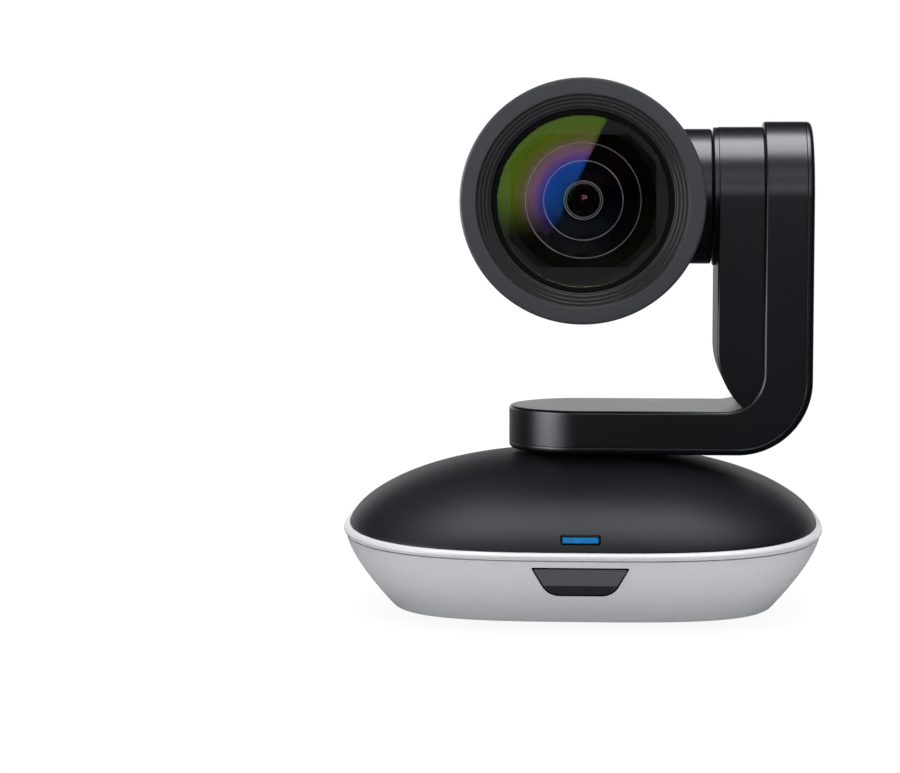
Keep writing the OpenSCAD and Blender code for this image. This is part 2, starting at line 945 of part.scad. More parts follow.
// Round bars of radius r along the two guide rods.
module rod_places(r) {
    for (side = [-1, 1])
        translate([side * rod_x, rod_y0, lens_z])
            rotate([-90, 0, 0])
                cylinder(r = r, h = sensor_y - 1.5 - rod_y0);
}

module guide_rods() {
    color(STEEL)
        rod_places(rod_r);
}

module focus_magnets() {
    color(MAGNET)
        for (side = [-1, 1])
            bar([-3, 3], side > 0 ? [-17, 0.5] : [4, 15], around(lens_z + side * 13.9, 1.7));
}

module sensor_board() {
    color(GREEN)
        difference() {
            bar([-15, 15], [sensor_y + 1.6, sensor_y + 3], around(lens_z, 15));
            for (sx = [-1, 1], sz = [-1, 1])
                translate([sx * 13, sensor_y, lens_z + sz * 13])
                    rotate([-90, 0, 0])
                        cylinder(r = 1.1, h = 5);
        }
}

module image_sensor() {
    color("#20242c")
        bar([-5, 5], [sensor_y, sensor_y + 1.6], around(lens_z, 5));
}

// Lens cell that slides on the guide rods, with its lens and its drive coil.
module sliding_group(y, width, lens_r, coil_side) {
    color(DARK)
        difference() {
            union() {
                lens_turning([[lens_r, y], [11, y], [11, y + width], [lens_r, y + width]]);
                for (side = [-1, 1])
                    translate([side * rod_x, y, lens_z])
                        rotate([-90, 0, 0])
                            cylinder(r = 2.4, h = width);
            }
            for (side = [-1, 1])
                translate([side * rod_x, y - 1, lens_z])
                    rotate([-90, 0, 0])
                        cylinder(r = rod_r + run_gap, h = width + 2);
        }
    color([0.25, 0.3, 0.35, 0.5])
        lens_element(lens_r, y - 0.6, y + width + 0.6, 30, 30);
    color("#a5623a")
        translate([-2.5, y, lens_z + (coil_side > 0 ? 10.6 : -11.8)])
            cube([5, width, 1.2]);
}

module zoom_group() {
    sliding_group(-16.6, 4, 9, 1);
}

module focus_group() {
    sliding_group(8, 3, 7, -1);
}

// Profile of the head's round housing behind the ring, outer face drawn in by inset.
function head_front_profile(inset) = [[ring_r - 1.6 - inset, -27], [ring_r - 1.8 - inset, -20],
    [ring_r - 2.4 - inset, -10], [ring_r - 3.4 - inset, 0]];

function head_rear_profile(inset) = [[ring_r - 3.4 - inset, 0.1],
    for (a = [0 : 15 : 75]) [12 + (ring_r - 15.6 - inset) * cos(a), 13 + (20.5 - inset) * sin(a)],
    [12, 33.5 - inset], [0, 33.5 - inset]];

module hub_bore(r) {
    along_tilt_axis()
        translate([0, 0, 18])
            cylinder(r = r, h = 30, $fn = 96);
}

module head_front_shell() {
    inner = head_front_profile(2);
    color(BLACK)
        difference() {
            lens_turning(concat(head_front_profile(0), [for (k = [3 : -1 : 0]) inner[k]]));
            hub_bore(hub_r + 0.1);
        }
}

module head_rear_shell() {
    inner = head_rear_profile(2);
    color(BLACK)
        difference() {
            lens_turning(concat(head_rear_profile(0), [for (k = [len(inner) - 1 : -1 : 0]) inner[k]]));
            hub_bore(hub_r + 0.1);
            screw_places()
                cylinder(r = head_screw_r, h = 20);
        }
}

// The three screws that hold the head together, from the rear.
module screw_places() {
    for (a = [90, 210, 330])
        translate([0, 0, lens_z])
            rotate([-90, 0, 0])
                rotate(a)
                    translate([head_screw_at, 0, 22])
                        children();
}

module head_screws() {
    color(STEEL)
        screw_places()
            difference() {
                cylinder(r = head_screw_r, h = 10.2);
                translate([0, 0, 9.2])
                    cylinder(r = 0.8, h = 2, $fn = 6);
            }
}

// Metal frame that ties the lens barrel to the tilt shaft.
module head_frame() {
    color(STEEL)
        difference() {
            union() {
                lens_turning([[barrel_r, -8.5], [20.3, -8.5], [20.3, 8.5], [barrel_r, 8.5]]);
                bar([16, 21.6], [-8, 8], around(tilt_z, 8));
                along_tilt_axis()
                    translate([0, 0, 21])
                        cylinder(r = 7.6, h = 8.9);
            }
            along_tilt_axis()
                translate([0, 0, 10])
                    cylinder(r = 5, h = 60);
            translate([0, -30, lens_z])
                rotate([-90, 0, 0])
                    cylinder(r = barrel_r, h = 60);
        }
}

module tilt_hub() {
    color(BLACK)
        along_tilt_axis()
            difference() {
                tube(shaft_r, hub_r, 22, hub_x1);
                translate([0, 0, 20])
                    cylinder(r = hub_r - 2, h = hub_x1 - 22.2);
                hub_screw_places()
                    cylinder(r = hub_screw_r, h = 6);
            }
}

module hub_screw_places() {
    for (a = [0 : 120 : 240])
        rotate(a)
            translate([hub_screw_at, 0, 31])
                children();
}

module tilt_shaft() {
    color(STEEL)
        along_tilt_axis()
            difference() {
                union() {
                    tube(4, shaft_r, 29.9, 62.4);
                    tube(4, 15, 32, hub_x1 - 2.2);
                }
                hub_screw_places()
                    cylinder(r = hub_screw_r, h = 6);
            }
}

module hub_screws() {
    color(STEEL)
        along_tilt_axis()
            hub_screw_places()
                cylinder(r = hub_screw_r, h = 6);
}

module tilt_gear() {
    color("#e4e1d6")
        along_tilt_axis()
            difference() {
                union() {
                    translate([0, 0, tilt_gear_x])
                        spur_gear(tilt_teeth, gear_w);
                    tube(shaft_r, 9, tilt_gear_x, tilt_gear_x + gear_w + 0.8);
                }
                cylinder(r = shaft_r, h = 80);
                for (a = [0 : 60 : 300])
                    rotate(a)
                        translate([13.4, 0, 50])
                            cylinder(r = 2.6, h = 20);
            }
}

module shaft_clip() {
    color(STEEL)
        along_tilt_axis()
            tube(shaft_r, 8, tilt_gear_x + gear_w + 0.8, tilt_gear_x + gear_w + 1.8);
}

base_lower_shell();
rim_trim();
base_top_cover();
bottom_plate();
rubber_feet();
base_screws();
tripod_insert();
ballast_plate();
lower_standoffs();
main_board();
chassis_posts();
pan_chassis();
chassis_screws();
pan_bush();
thrust_washer();
pan_motor();
led_bezel();
led_light_pipe();
led_board();
ir_window();
ir_receiver();
port_tray();
power_jack();
usb_port();
pan_pinion();
arm_shell();
arm_cover();
arm_inner_cover();
pan_spindle();
pan_gear();
spindle_clip();
spindle_screws();
tilt_bush();
tilt_motor();
arm_harness();
tilt_pinion();
front_ring();
front_glass();
glass_gasket();
lens_mask();
front_lens();
lens_retainer();
lens_barrel();
barrel_baffle();
iris_cell();
guide_rods();
focus_magnets();
sensor_board();
image_sensor();
head_front_shell();
head_rear_shell();
head_screws();
head_frame();
tilt_hub();
tilt_shaft();
hub_screws();
tilt_gear();
shaft_clip();
zoom_group();
focus_group();
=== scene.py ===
import json
import math

import bmesh
import bpy
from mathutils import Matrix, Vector


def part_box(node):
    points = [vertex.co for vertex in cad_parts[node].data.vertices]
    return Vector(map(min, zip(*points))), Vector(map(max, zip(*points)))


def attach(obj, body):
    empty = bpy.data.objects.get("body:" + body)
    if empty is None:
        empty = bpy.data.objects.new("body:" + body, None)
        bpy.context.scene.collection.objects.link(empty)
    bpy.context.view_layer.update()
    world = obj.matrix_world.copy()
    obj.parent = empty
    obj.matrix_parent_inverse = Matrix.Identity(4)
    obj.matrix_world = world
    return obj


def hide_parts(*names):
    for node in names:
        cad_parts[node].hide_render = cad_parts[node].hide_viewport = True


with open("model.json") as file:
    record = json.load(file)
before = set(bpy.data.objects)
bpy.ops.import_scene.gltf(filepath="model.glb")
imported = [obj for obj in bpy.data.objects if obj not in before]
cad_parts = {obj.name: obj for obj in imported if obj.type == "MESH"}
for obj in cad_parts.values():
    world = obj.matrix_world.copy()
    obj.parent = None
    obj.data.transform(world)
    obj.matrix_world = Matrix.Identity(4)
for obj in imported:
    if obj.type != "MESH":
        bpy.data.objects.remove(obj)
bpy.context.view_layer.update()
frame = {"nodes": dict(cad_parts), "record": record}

MM = 0.001

# ---------------------------------------------------------------- sizes, in millimetres

def span(node):
    """A CAD node's lowest and highest corner, in millimetres."""
    low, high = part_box(node)
    return low / MM, high / MM


lip_high = span("rim_trim")[1]
cover_low, cover_high = span("arm_cover")
leaf_low, leaf_high = span("arm_inner_cover")
ring_low, ring_high = span("front_ring")
hub_low, hub_high = span("tilt_hub")
glass_low, glass_high = span("front_glass")

LIP_A, LIP_B = lip_high.x, lip_high.y      # half width and depth of the base over its lip
SQUARENESS = 3.2                           # of the base's outline: 2 is an ellipse
SEAM_Z = lip_high.z + 0.12                 # seam between dome and lip, at the sides
SEAM_DIP = 3.0                             # how much lower it lies at the front and back
DOME_A, DOME_B = LIP_A - 1.7, LIP_B - 1.5
DOME_H = 20.0                              # of the dome above its seam
DOME_HOLE = 12.0                           # radius of the hole for the pan spindle
BOWL_A, BOWL_B = LIP_A - 0.7, LIP_B - 0.5  # the lower shell at its top
BOWL_Z = SEAM_Z - 3.0
BOWL_DIP = SEAM_DIP - 0.6
BOWL_FOOT = 3.0                            # where the lower shell turns under
BOWL_DROP_A, BOWL_DROP_B = 13.0, 15.5      # how far it has drawn in there
UNDERSIDE = span("base_lower_shell")[0].z
WALL = 2.2
PLATE_A, PLATE_B = 49.2, 37.2              # opening in the underside for the bottom plate
PLATE_SCREW = (32, 24, 2.6)                # place and radius of the recesses for its screws
INSERT_R = 5.6                             # opening round the tripod insert
LOCK_X, LOCK_Z, LOCK_W, LOCK_H = 36, 14, 7.2, 3.2
FOOT_R, FOOT_HOLLOW = 6.0, 0.25
REAR_CUT = (40, 80)                        # cutters for the rear reach from here to here

LED_W, LED_H, LED_Y, LED_Z = 11.3, 3.05, -61.5, 27.8
LED_LEAN = math.radians(35)                # as the dome leans there

IR_TOP, IR_LOW, IR_CREASE = 19.7, 11.1, 14.4
IR_HALF_TOP, IR_HALF_LOW, IR_CORNER = 13.7, 9.0, 6.0
IR_GAP = 0.12                              # how far the window stands in from its outline
IR_SEAL = 0.36                             # how far its seal stands out from it
IR_THICK, IR_PROUD, IR_BULGE = 1.6, 0.12, 0.75

ARM_R = cover_high.y                       # half its depth, and its round ends
ARM_Z0, ARM_X1 = cover_low.z, cover_high.x
TILT_Z = cover_high.z - ARM_R
ARM_Z1 = 60.9                              # top of the level part
ARM_X0 = leaf_high.x                       # left side of the upright
CORNER_OUT, CORNER_IN = 22.3, 11.5
COVER_T = 2.1
COLLAR_T = 1.1
LEAF_X0, LEAF_R = leaf_low.x + COLLAR_T, leaf_high.y
TAIL_Z, TAIL_R = 79.6, 24.2                # where the leaf's tail begins, and its curve
SHAFT_HOLE = 7.6

LENS_Z = (ring_low.z + ring_high.z) / 2
RING_R = (ring_high.z - ring_low.z) / 2
RING_Y = ring_low.y
RING_FACE = RING_R - 4.8                   # where the ring's flat face ends
STEP_R, STEP_Y, STEP_START, STEPS = 1.08, 0.8, 0.35, 4
GLASS_R, GLASS_Y, GLASS_T = glass_high.x, glass_low.y, 1.4
MASK_W, MASK_H, MASK_CUT = 21.4, 19.4, 8.0  # half the opening, and its cut corners
HUB_R, HUB_X1 = hub_high.y, hub_high.x
HUB_ROOM = 0.12                            # between the hub and the head's housing
REAR_Y = span("head_rear_shell")[1].y
REAR_SCREW_AT, REAR_SCREW_R = 16, 1.75

# ---------------------------------------------------------------- camera

def linked(name, data):
    made = bpy.data.objects.new(name, data)
    bpy.context.scene.collection.objects.link(made)
    return made


EYE = Vector((8.0, -850.0, 141.4)) * MM
AIM = Vector((-0.05745, 1.0, -0.08851))
camera_data = bpy.data.cameras.new("camera")
camera_data.sensor_width = 36.0
camera_data.lens = 111.4
camera_data.clip_start = 0.05
camera = linked("camera", camera_data)
camera.location = EYE
camera.rotation_mode = "QUATERNION"
camera.rotation_quaternion = AIM.to_track_quat("-Z", "Y")
bpy.context.scene.camera = camera

# ---------------------------------------------------------------- materials

def blank_material(name):
    material = bpy.data.materials.new(name)
    material.use_nodes = True
    nodes, links = material.node_tree.nodes, material.node_tree.links
    nodes.clear()
    return material, nodes, links, nodes.new("ShaderNodeOutputMaterial").inputs["Surface"]


def principled(name):
    material, nodes, links, surface = blank_material(name)
    shader = nodes.new("ShaderNodeBsdfPrincipled")
    links.new(shader.outputs["BSDF"], surface)
    return material, nodes, links, shader.inputs


def coordinates(nodes, links, kind="Object"):
    """Sockets X, Y and Z of the place in the object's own space, or of a world direction."""
    coords = nodes.new("ShaderNodeTexCoord")
    split = nodes.new("ShaderNodeSeparateXYZ")
    links.new(coords.outputs[kind], split.inputs["Vector"])
    return split.outputs


def map_range(nodes, links, value, start=(0.0, 1.0), end=(0.0, 1.0), smooth=False):
    """A value carried from the range start to the range end, and kept inside it."""
    mapped = nodes.new("ShaderNodeMapRange")
    if smooth:
        mapped.interpolation_type = "SMOOTHSTEP"
    for socket, limit in zip(("From Min", "From Max", "To Min", "To Max"), start + end):
        mapped.inputs[socket].default_value = limit
    links.new(value, mapped.inputs["Value"])
    return mapped.outputs["Result"]


def noise(nodes, links, scale, detail=2.0, stretch=None):
    """Noise in the object's own space, with an optional stretch along its axes."""
    coords = nodes.new("ShaderNodeTexCoord")
    source = coords.outputs["Object"]
    if stretch:
        mapping = nodes.new("ShaderNodeMapping")
        mapping.inputs["Scale"].default_value = stretch
        links.new(source, mapping.inputs["Vector"])
        source = mapping.outputs["Vector"]
    texture = nodes.new("ShaderNodeTexNoise")
    texture.inputs["Scale"].default_value = scale
    texture.inputs["Detail"].default_value = detail
    links.new(source, texture.inputs["Vector"])
    return texture.outputs["Fac"]


def shade_between(nodes, links, fac, low, high):
    ramp = nodes.new("ShaderNodeValToRGB")
    for stop, place, colour in zip(ramp.color_ramp.elements, (0.3, 0.7), (low, high)):
        stop.position = place
        stop.color = (*colour, 1)
    links.new(fac, ramp.inputs["Fac"])
    return ramp.outputs["Color"]


def moulded(name, colour, roughness, grain, grain_size, mottling=0.06, metallic=0.0,
            specular=0.5, tint=(1.0, 1.0, 1.0), coat=0.0, stretch=None):
    """Moulded or painted surface: fine grain in relief and colour, slow changes in its gloss."""
    material, nodes, links, shader = principled(name)
    fine = noise(nodes, links, 1.0 / (grain_size * MM), 3.0, stretch)
    slow = noise(nodes, links, 60.0, 3.0)
    low = [c * (1 - mottling) for c in colour]
    high = [min(1.0, c * (1 + mottling)) for c in colour]
    links.new(shade_between(nodes, links, fine, low, high), shader["Base Color"])
    links.new(map_range(nodes, links, slow, end=(roughness * 0.92, roughness * 1.08)),
              shader["Roughness"])
    bump = nodes.new("ShaderNodeBump")
    bump.inputs["Strength"].default_value = grain
    bump.inputs["Distance"].default_value = 0.03 * MM
    links.new(fine, bump.inputs["Height"])
    links.new(bump.outputs["Normal"], shader["Normal"])
    shader["Metallic"].default_value = metallic
    shader["Specular IOR Level"].default_value = specular
    shader["Specular Tint"].default_value = (*tint, 1)
    shader["Coat Weight"].default_value = coat
    shader["Coat Roughness"].default_value = 0.08
    return material


def glowing(name, colour, strength):
    """Translucent plastic lit from behind, a little uneven."""
    material, nodes, links, shader = principled(name)
    fine = noise(nodes, links, 900.0)
    tint = shade_between(nodes, links, fine, [c * 0.7 for c in colour], colour)
    links.new(tint, shader["Base Color"])
    links.new(tint, shader["Emission Color"])
    links.new(map_range(nodes, links, fine, end=(0.25, 0.35)), shader["Roughness"])
    shader["Specular IOR Level"].default_value = 0.15
    shader["Emission Strength"].default_value = strength
    return material


def smoked_window(name):
    """Tinted plastic, paler above its crease than below it."""
    material, nodes, links, shader = principled(name)
    height = coordinates(nodes, links)["Z"]
    crease = ((IR_CREASE - 0.12) * MM, (IR_CREASE + 0.12) * MM)
    blend = nodes.new("ShaderNodeMix")
    blend.data_type = "RGBA"
    blend.inputs["A"].default_value = (0.022, 0.023, 0.028, 1)
    blend.inputs["B"].default_value = (0.090, 0.092, 0.102, 1)
    links.new(map_range(nodes, links, height, crease), blend.inputs["Factor"])
    links.new(blend.outputs["Result"], shader["Base Color"])
    fine = noise(nodes, links, 700.0)
    links.new(map_range(nodes, links, fine, end=(0.22, 0.28)), shader["Roughness"])
    shader["Coat Weight"].default_value = 0.2
    return material


def coated_glass(name, stops, tint=(1.0, 1.0, 1.0), ior=1.5):
    """Clear glass whose reflection takes its colour from the distance to the lens's axis."""
    material, nodes, links, shader = principled(name)
    place = coordinates(nodes, links)
    lift = nodes.new("ShaderNodeMath")
    lift.operation = "SUBTRACT"
    lift.inputs[1].default_value = LENS_Z * MM
    links.new(place["Z"], lift.inputs[0])
    flat = nodes.new("ShaderNodeCombineXYZ")
    links.new(place["X"], flat.inputs["X"])
    links.new(lift.outputs["Value"], flat.inputs["Z"])
    length = nodes.new("ShaderNodeVectorMath")
    length.operation = "LENGTH"
    links.new(flat.outputs["Vector"], length.inputs[0])
    share = map_range(nodes, links, length.outputs["Value"], (0.0, GLASS_R * MM))
    ramp = nodes.new("ShaderNodeValToRGB")
    elements = ramp.color_ramp.elements
    while len(elements) > 1:
        elements.remove(elements[-1])
    elements[0].position = stops[0][0]
    elements[0].color = (*stops[0][1], 1)
    for where, colour in stops[1:]:
        elements.new(where).color = (*colour, 1)
    links.new(share, ramp.inputs["Fac"])
    links.new(ramp.outputs["Color"], shader["Specular Tint"])
    haze = noise(nodes, links, 400.0, 3.0)
    links.new(map_range(nodes, links, haze, end=(0.0024, 0.0056)), shader["Roughness"])
    shader["Base Color"].default_value = (*tint, 1)
    shader["Transmission Weight"].default_value = 1.0
    shader["IOR"].default_value = ior
    return material


COATING = [
    (0.0, (0.03, 0.08, 0.03)), (0.2, (0.03, 0.08, 0.05)), (0.26, (0.02, 0.13, 0.6)),
    (0.42, (0.015, 0.17, 1.0)), (0.5, (0.20, 0.13, 0.75)), (0.57, (0.50, 0.24, 0.55)),
    (0.65, (0.42, 0.26, 0.28)), (0.74, (0.29, 0.30, 0.06)), (0.83, (0.22, 0.35, 0.015)),
    (1.0, (0.15, 0.35, 0.01))]
INNER_COATING = [
    (0.0, (0.4, 0.2, 0.4)), (0.5, (0.5, 0.15, 0.12)), (0.8, (0.4, 0.2, 0.1)),
    (1.0, (0.2, 0.3, 0.1))]

COOL = (0.92, 0.95, 1.0)                   # cast of the gloss on the dark plastics

# name: colour, roughness, depth of the grain, its size in millimetres, and what else is set
LOOKS = {
    "silver_plastic": ((0.65, 0.664, 0.688), 0.42, 0.7, 0.6,
                       dict(mottling=0.05, metallic=0.12)),
    "lip_paint": ((0.62, 0.63, 0.65), 0.42, 0.2, 0.4,
                  dict(mottling=0.03, metallic=0.05, specular=0.35)),
    "black_plastic": ((0.0020, 0.0026, 0.0046), 0.3, 0.03, 0.45, dict(tint=COOL)),
    "dome_plastic": ((0.0058, 0.0068, 0.0096), 0.47, 0.12, 0.2,
                     dict(mottling=0.12, specular=0.2, tint=COOL)),
    "dark_plastic": ((0.012, 0.0125, 0.014), 0.5, 0.2, 0.3, dict(mottling=0.1)),
    "ring_plastic": ((0.033, 0.036, 0.0435), 0.4, 0.12, 0.22, dict(mottling=0.08)),
    "matte_black": ((0.004, 0.004, 0.0045), 0.7, 0.1, 0.2, dict(mottling=0.1)),
    # painted shade: the hood's steps are the ring's own plastic, made darker for the shade inside
    # its recess
    "step_plastic": ((0.013, 0.0138, 0.0158), 0.3, 0.08, 0.2, dict(mottling=0.08)),
    "lens_black": ((0.0010, 0.0006, 0.0006), 0.35, 0.05, 0.2,
                   dict(mottling=0.1, specular=0.12)),
    "core_lens": ((0.010, 0.004, 0.007), 0.05, 0.0, 0.5,
                  dict(mottling=0.1, specular=1.0, tint=(1.0, 0.42, 0.75))),
    "mask_print": ((0.042, 0.042, 0.0415), 0.55, 0.05, 0.3, dict(mottling=0.1)),
    "rubber": ((0.016, 0.016, 0.016), 0.75, 0.5, 0.4, dict(mottling=0.15)),
    "cable_jacket": ((0.02, 0.02, 0.02), 0.5, 0.2, 0.3, {}),
    "steel": ((0.55, 0.55, 0.56), 0.3, 0.25, 0.3,
              dict(metallic=1.0, stretch=(1.0, 1.0, 12.0))),
    "brass": ((0.60, 0.43, 0.18), 0.28, 0.2, 0.2, dict(metallic=1.0, stretch=(1.0, 1.0, 9.0))),
    "circuit_board": ((0.008, 0.10, 0.04), 0.3, 0.4, 1.2, dict(mottling=0.4, coat=0.4)),
    "nylon": ((0.72, 0.70, 0.63), 0.45, 0.15, 0.3, {}),
    "magnet": ((0.33, 0.34, 0.36), 0.25, 0.1, 0.3, dict(metallic=1.0)),
    "silicon": ((0.03, 0.04, 0.06), 0.12, 0.05, 0.5, dict(mottling=0.3, coat=0.6)),
    # painted highlight: white rings that stand in for light glinting off edges inside the lens
    "thin_ring": ((0.92, 0.92, 0.95), 0.35, 0.05, 0.2, dict(metallic=0.2)),
}
MATERIALS = {name: moulded(name, *look, **more) for name, (*look, more) in LOOKS.items()}
MATERIALS["infrared_window"] = smoked_window("infrared_window")
MATERIALS["led_lens"] = glowing("led_lens", (0.0003, 0.10, 0.28), 0.75)
MATERIALS["front_window"] = coated_glass("front_window", COATING, ior=1.9)
MATERIALS["coated_lens"] = coated_glass("coated_lens", INNER_COATING, (0.9, 0.9, 0.92), 1.12)

for entry in frame["record"]["subparts"]:
    mesh = frame["nodes"][entry["node"]].data
    mesh.materials.clear()
    mesh.materials.append(MATERIALS[entry["material_slot"]])
    mesh.set_sharp_from_angle(angle=math.radians(32))

# ---------------------------------------------------------------- building helpers

SHARP = 38.0                               # degrees from which an edge stays sharp


def closed_mesh(name, points, faces, merge):
    """A mesh from points in millimetres, with its faces turned outwards."""
    mesh = bpy.data.meshes.new(name)
    mesh.from_pydata([Vector(p) * MM for p in points], [], faces)
    work = bmesh.new()
    work.from_mesh(mesh)
    if merge:
        bmesh.ops.remove_doubles(work, verts=work.verts, dist=1e-7)
    bmesh.ops.recalc_face_normals(work, faces=work.faces)
    if work.calc_volume(signed=True) < 0:
        bmesh.ops.reverse_faces(work, faces=work.faces)
    work.to_mesh(mesh)
    work.free()
    return mesh


def even_shading(piece):
    """Keeps wide flat faces flat beside their small rounded edges."""
    modifier = piece.modifiers.new("even_shading", "WEIGHTED_NORMAL")
    modifier.keep_sharp = True
    modifier.weight = 80


def add_piece(name, points, faces, body, material, slot=None, replaces=(), sharp=SHARP):
    """A closed piece that rides on a body, smooth but for its sharp edges."""
    mesh = closed_mesh(name, points, faces, True)
    mesh.materials.append(MATERIALS[material])
    mesh.shade_smooth()
    mesh.set_sharp_from_angle(angle=math.radians(sharp))
    piece = linked(name, mesh)
    even_shading(piece)
    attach(piece, body)
    if replaces:
        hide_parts(*replaces)
    return piece


def steps_between(low, high, count):
    return [low + (high - low) * k / count for k in range(count + 1)]


def arc(centre_r, centre_a, radius, start, end, steps):
    """Points of an arc in a section, angles in degrees."""
    turns = [math.radians(start + (end - start) * k / steps) for k in range(steps + 1)]
    return [(centre_r + radius * math.cos(t), centre_a + radius * math.sin(t)) for t in turns]


def circle(centre_u, centre_v, radius, count):
    """An outline of so many points."""
    return arc(centre_u, centre_v, radius, 0, 360 - 360 / count, count - 1)


def box_outline(w, h, radius, steps=6):
    found = []
    for cx, cy, start in ((1, 1, 0), (-1, 1, 90), (-1, -1, 180), (1, -1, 270)):
        found += arc(cx * (w / 2 - radius), cy * (h / 2 - radius), radius, start, start + 90, steps)
    return found


def moved(outline, across, up):
    return [(u + across, v + up) for u, v in outline]


def rounded(corners, default=0.3, steps=4):
    """A closed section whose corners are rounded; a corner is (u, v) or (u, v, radius)."""
    found = []
    count = len(corners)
    for i, corner in enumerate(corners):
        here = Vector(corner[:2])
        radius = corner[2] if len(corner) > 2 else default
        before = Vector(corners[i - 1][:2]) - here
        after = Vector(corners[(i + 1) % count][:2]) - here
        angle = before.angle(after) if before.length and after.length else math.pi
        if radius <= 0 or angle > math.radians(176):
            found.append(tuple(here))
            continue
        reach = min(radius / math.tan(angle / 2), before.length * 0.45, after.length * 0.45)
        a = here + before.normalized() * reach
        b = here + after.normalized() * reach
        for k in range(steps + 1):
            t = k / steps
            point = a * (1 - t) ** 2 + here * 2 * t * (1 - t) + b * t * t
            found.append(tuple(point))
    return found


def band(low, high, count):
    """Faces between two rings of points whose first points are low and high."""
    return [(low + i, low + (i + 1) % count, high + (i + 1) % count, high + i)
            for i in range(count)]


def closed_bands(rings, count):
    """Faces through a number of rings and back to the first."""
    return [face for i in range(rings) for face in band(i * count, (i + 1) % rings * count, count)]


def caps(count, last):
    """The first ring and the one whose first point is last, each closed by one face."""
    return [tuple(range(count - 1, -1, -1)), tuple(range(last, last + count))]


def revolve(section, place, segments=160):
    """Points and faces of a closed section turned about an axis. place maps (r, turn, along)."""
    points, faces = [], []
    count = len(section)
    for k in range(segments):
        turn = 2 * math.pi * k / segments
        points += [place(max(r, 0.0), turn, along) for r, along in section]
    for k in range(segments):
        base, following = k * count, (k + 1) % segments * count
        for i in range(count):
            j = (i + 1) % count
            if section[i][0] <= 0 and section[j][0] <= 0:
                continue
            if section[i][0] <= 0:
                faces.append((base + i, base + j, following + j))
            elif section[j][0] <= 0:
                faces.append((base + i, base + j, following + i))
            else:
                faces.append((base + i, base + j, following + j, following + i))
    return points, faces


def about_lens(r, turn, along):
    return (r * math.cos(turn), along, LENS_Z + r * math.sin(turn))


def about_tilt(r, turn, along):
    return (along, r * math.cos(turn), TILT_Z + r * math.sin(turn))


def about_pan(r, turn, along):
    return (r * math.cos(turn), r * math.sin(turn), along)


def along_y(u, v, depth):
    return (u, depth, v)


def along_z(u, v, depth):
    return (u, v, depth)


def turned(name, section, place, body, material, segments=160, **more):
    points, faces = revolve(section, place, segments)
    return add_piece(name, points, faces, body, material, **more)


def cut(piece, cutters):
    """Takes closed cutter meshes out of a piece and throws the cutters away."""
    piece.modifiers.clear()
    for cutter in cutters:
        modifier = piece.modifiers.new("cut", "BOOLEAN")
        modifier.object = cutter
        modifier.solver = "EXACT"
        modifier.operation = "DIFFERENCE"
    bpy.context.view_layer.update()
    graph = bpy.context.evaluated_depsgraph_get()
    result = bpy.data.meshes.new_from_object(piece.evaluated_get(graph))
    piece.modifiers.clear()
    piece.data = result
    result.set_sharp_from_angle(angle=math.radians(SHARP))
    even_shading(piece)
    for cutter in cutters:
        bpy.data.objects.remove(cutter)


def cutter(points, faces):
    """A bare closed mesh to cut with."""
    return linked("cutter", closed_mesh("cutter", points, faces, False))


def prism(outline, place, low, high):
    """Points and faces of an outline pushed from low to high. place maps (u, v, depth)."""
    count = len(outline)
    points = [place(u, v, d) for d in (low, high) for u, v in outline]
    return points, caps(count, count) + band(0, count, count)


def soft_prism(outline, place, low, high, edge):
    """A prism whose two faces have edges rounded by edge, outline drawn in about its middle."""
    centre = Vector((sum(u for u, v in outline), sum(v for u, v in outline))) / len(outline)
    size = max((Vector(p) - centre).length for p in outline)
    levels = []
    for k in range(4):
        a = math.radians(90 * k / 3)
        levels.append((edge * (1 - math.sin(a)), low + edge * (1 - math.cos(a))))
    levels += [(inset, low + high - depth) for inset, depth in reversed(levels)]
    count = len(outline)
    points, faces = [], []
    for inset, depth in levels:
        for p in outline:
            spot = centre + (Vector(p) - centre) * (1 - inset / size)
            points.append(place(spot.x, spot.y, depth))
    for k in range(len(levels) - 1):
        faces += band(k * count, (k + 1) * count, count)
    return points, faces + caps(count, (len(levels) - 1) * count)

# ---------------------------------------------------------------- base

OUTLINE_STEPS = 240


def superellipse(a, b, n, steps=OUTLINE_STEPS):
    points = []
    for k in range(steps):
        t = 2 * math.pi * k / steps
        c, s = math.cos(t), math.sin(t)
        points.append((a * math.copysign(abs(c) ** (2 / n), c),
                       b * math.copysign(abs(s) ** (2 / n), s)))
    return points


def ring_loft(rings):
    """Closed shell through rings [half width, half depth, squareness, height, dip]."""
    points = []
    for a, b, squareness, z, dip in rings:
        points += [(x, y, z - dip * (y / b) ** 2) for x, y in superellipse(a, b, squareness)]
    return points, closed_bands(len(rings), OUTLINE_STEPS)


def dome_ring(r, inset=0.0):
    u = r / DOME_A
    lift = max(0.0, 1 - u ** 2.4) ** 0.75
    depth = r * (DOME_B / DOME_A * u ** 0.3 + 1 - u ** 0.3)
    return [r - inset, depth - inset, 2 + (SQUARENESS - 2) * u ** 2,
            SEAM_Z + DOME_H * lift - inset * min(1.0, lift * 2), SEAM_DIP * u ** 6]


def bowl_dip(z):
    return BOWL_DIP * ((z - BOWL_FOOT) / (BOWL_Z - BOWL_FOOT)) ** 2


def bowl_ring(z, grow=0.0):
    s = max(0.0, (BOWL_Z - z) / (BOWL_Z - BOWL_FOOT)) ** 1.4
    return [BOWL_A - BOWL_DROP_A * s + grow, BOWL_B - BOWL_DROP_B * s + grow, SQUARENESS, z,
            bowl_dip(z)]


def wall_y(x, z):
    """Front face of the bowl at x and z (the dip is small there and is left in)."""
    a, b, n, _, _ = bowl_ring(z + bowl_dip(z))
    return -b * (1 - abs(x / a) ** n) ** (1 / n)


def led_place(u, v, depth):
    """Local frame of the status light: u across, v down, depth into the base."""
    c, s = math.cos(LED_LEAN), math.sin(LED_LEAN)
    return (u, LED_Y + depth * c - v * s, LED_Z - depth * s - v * c)


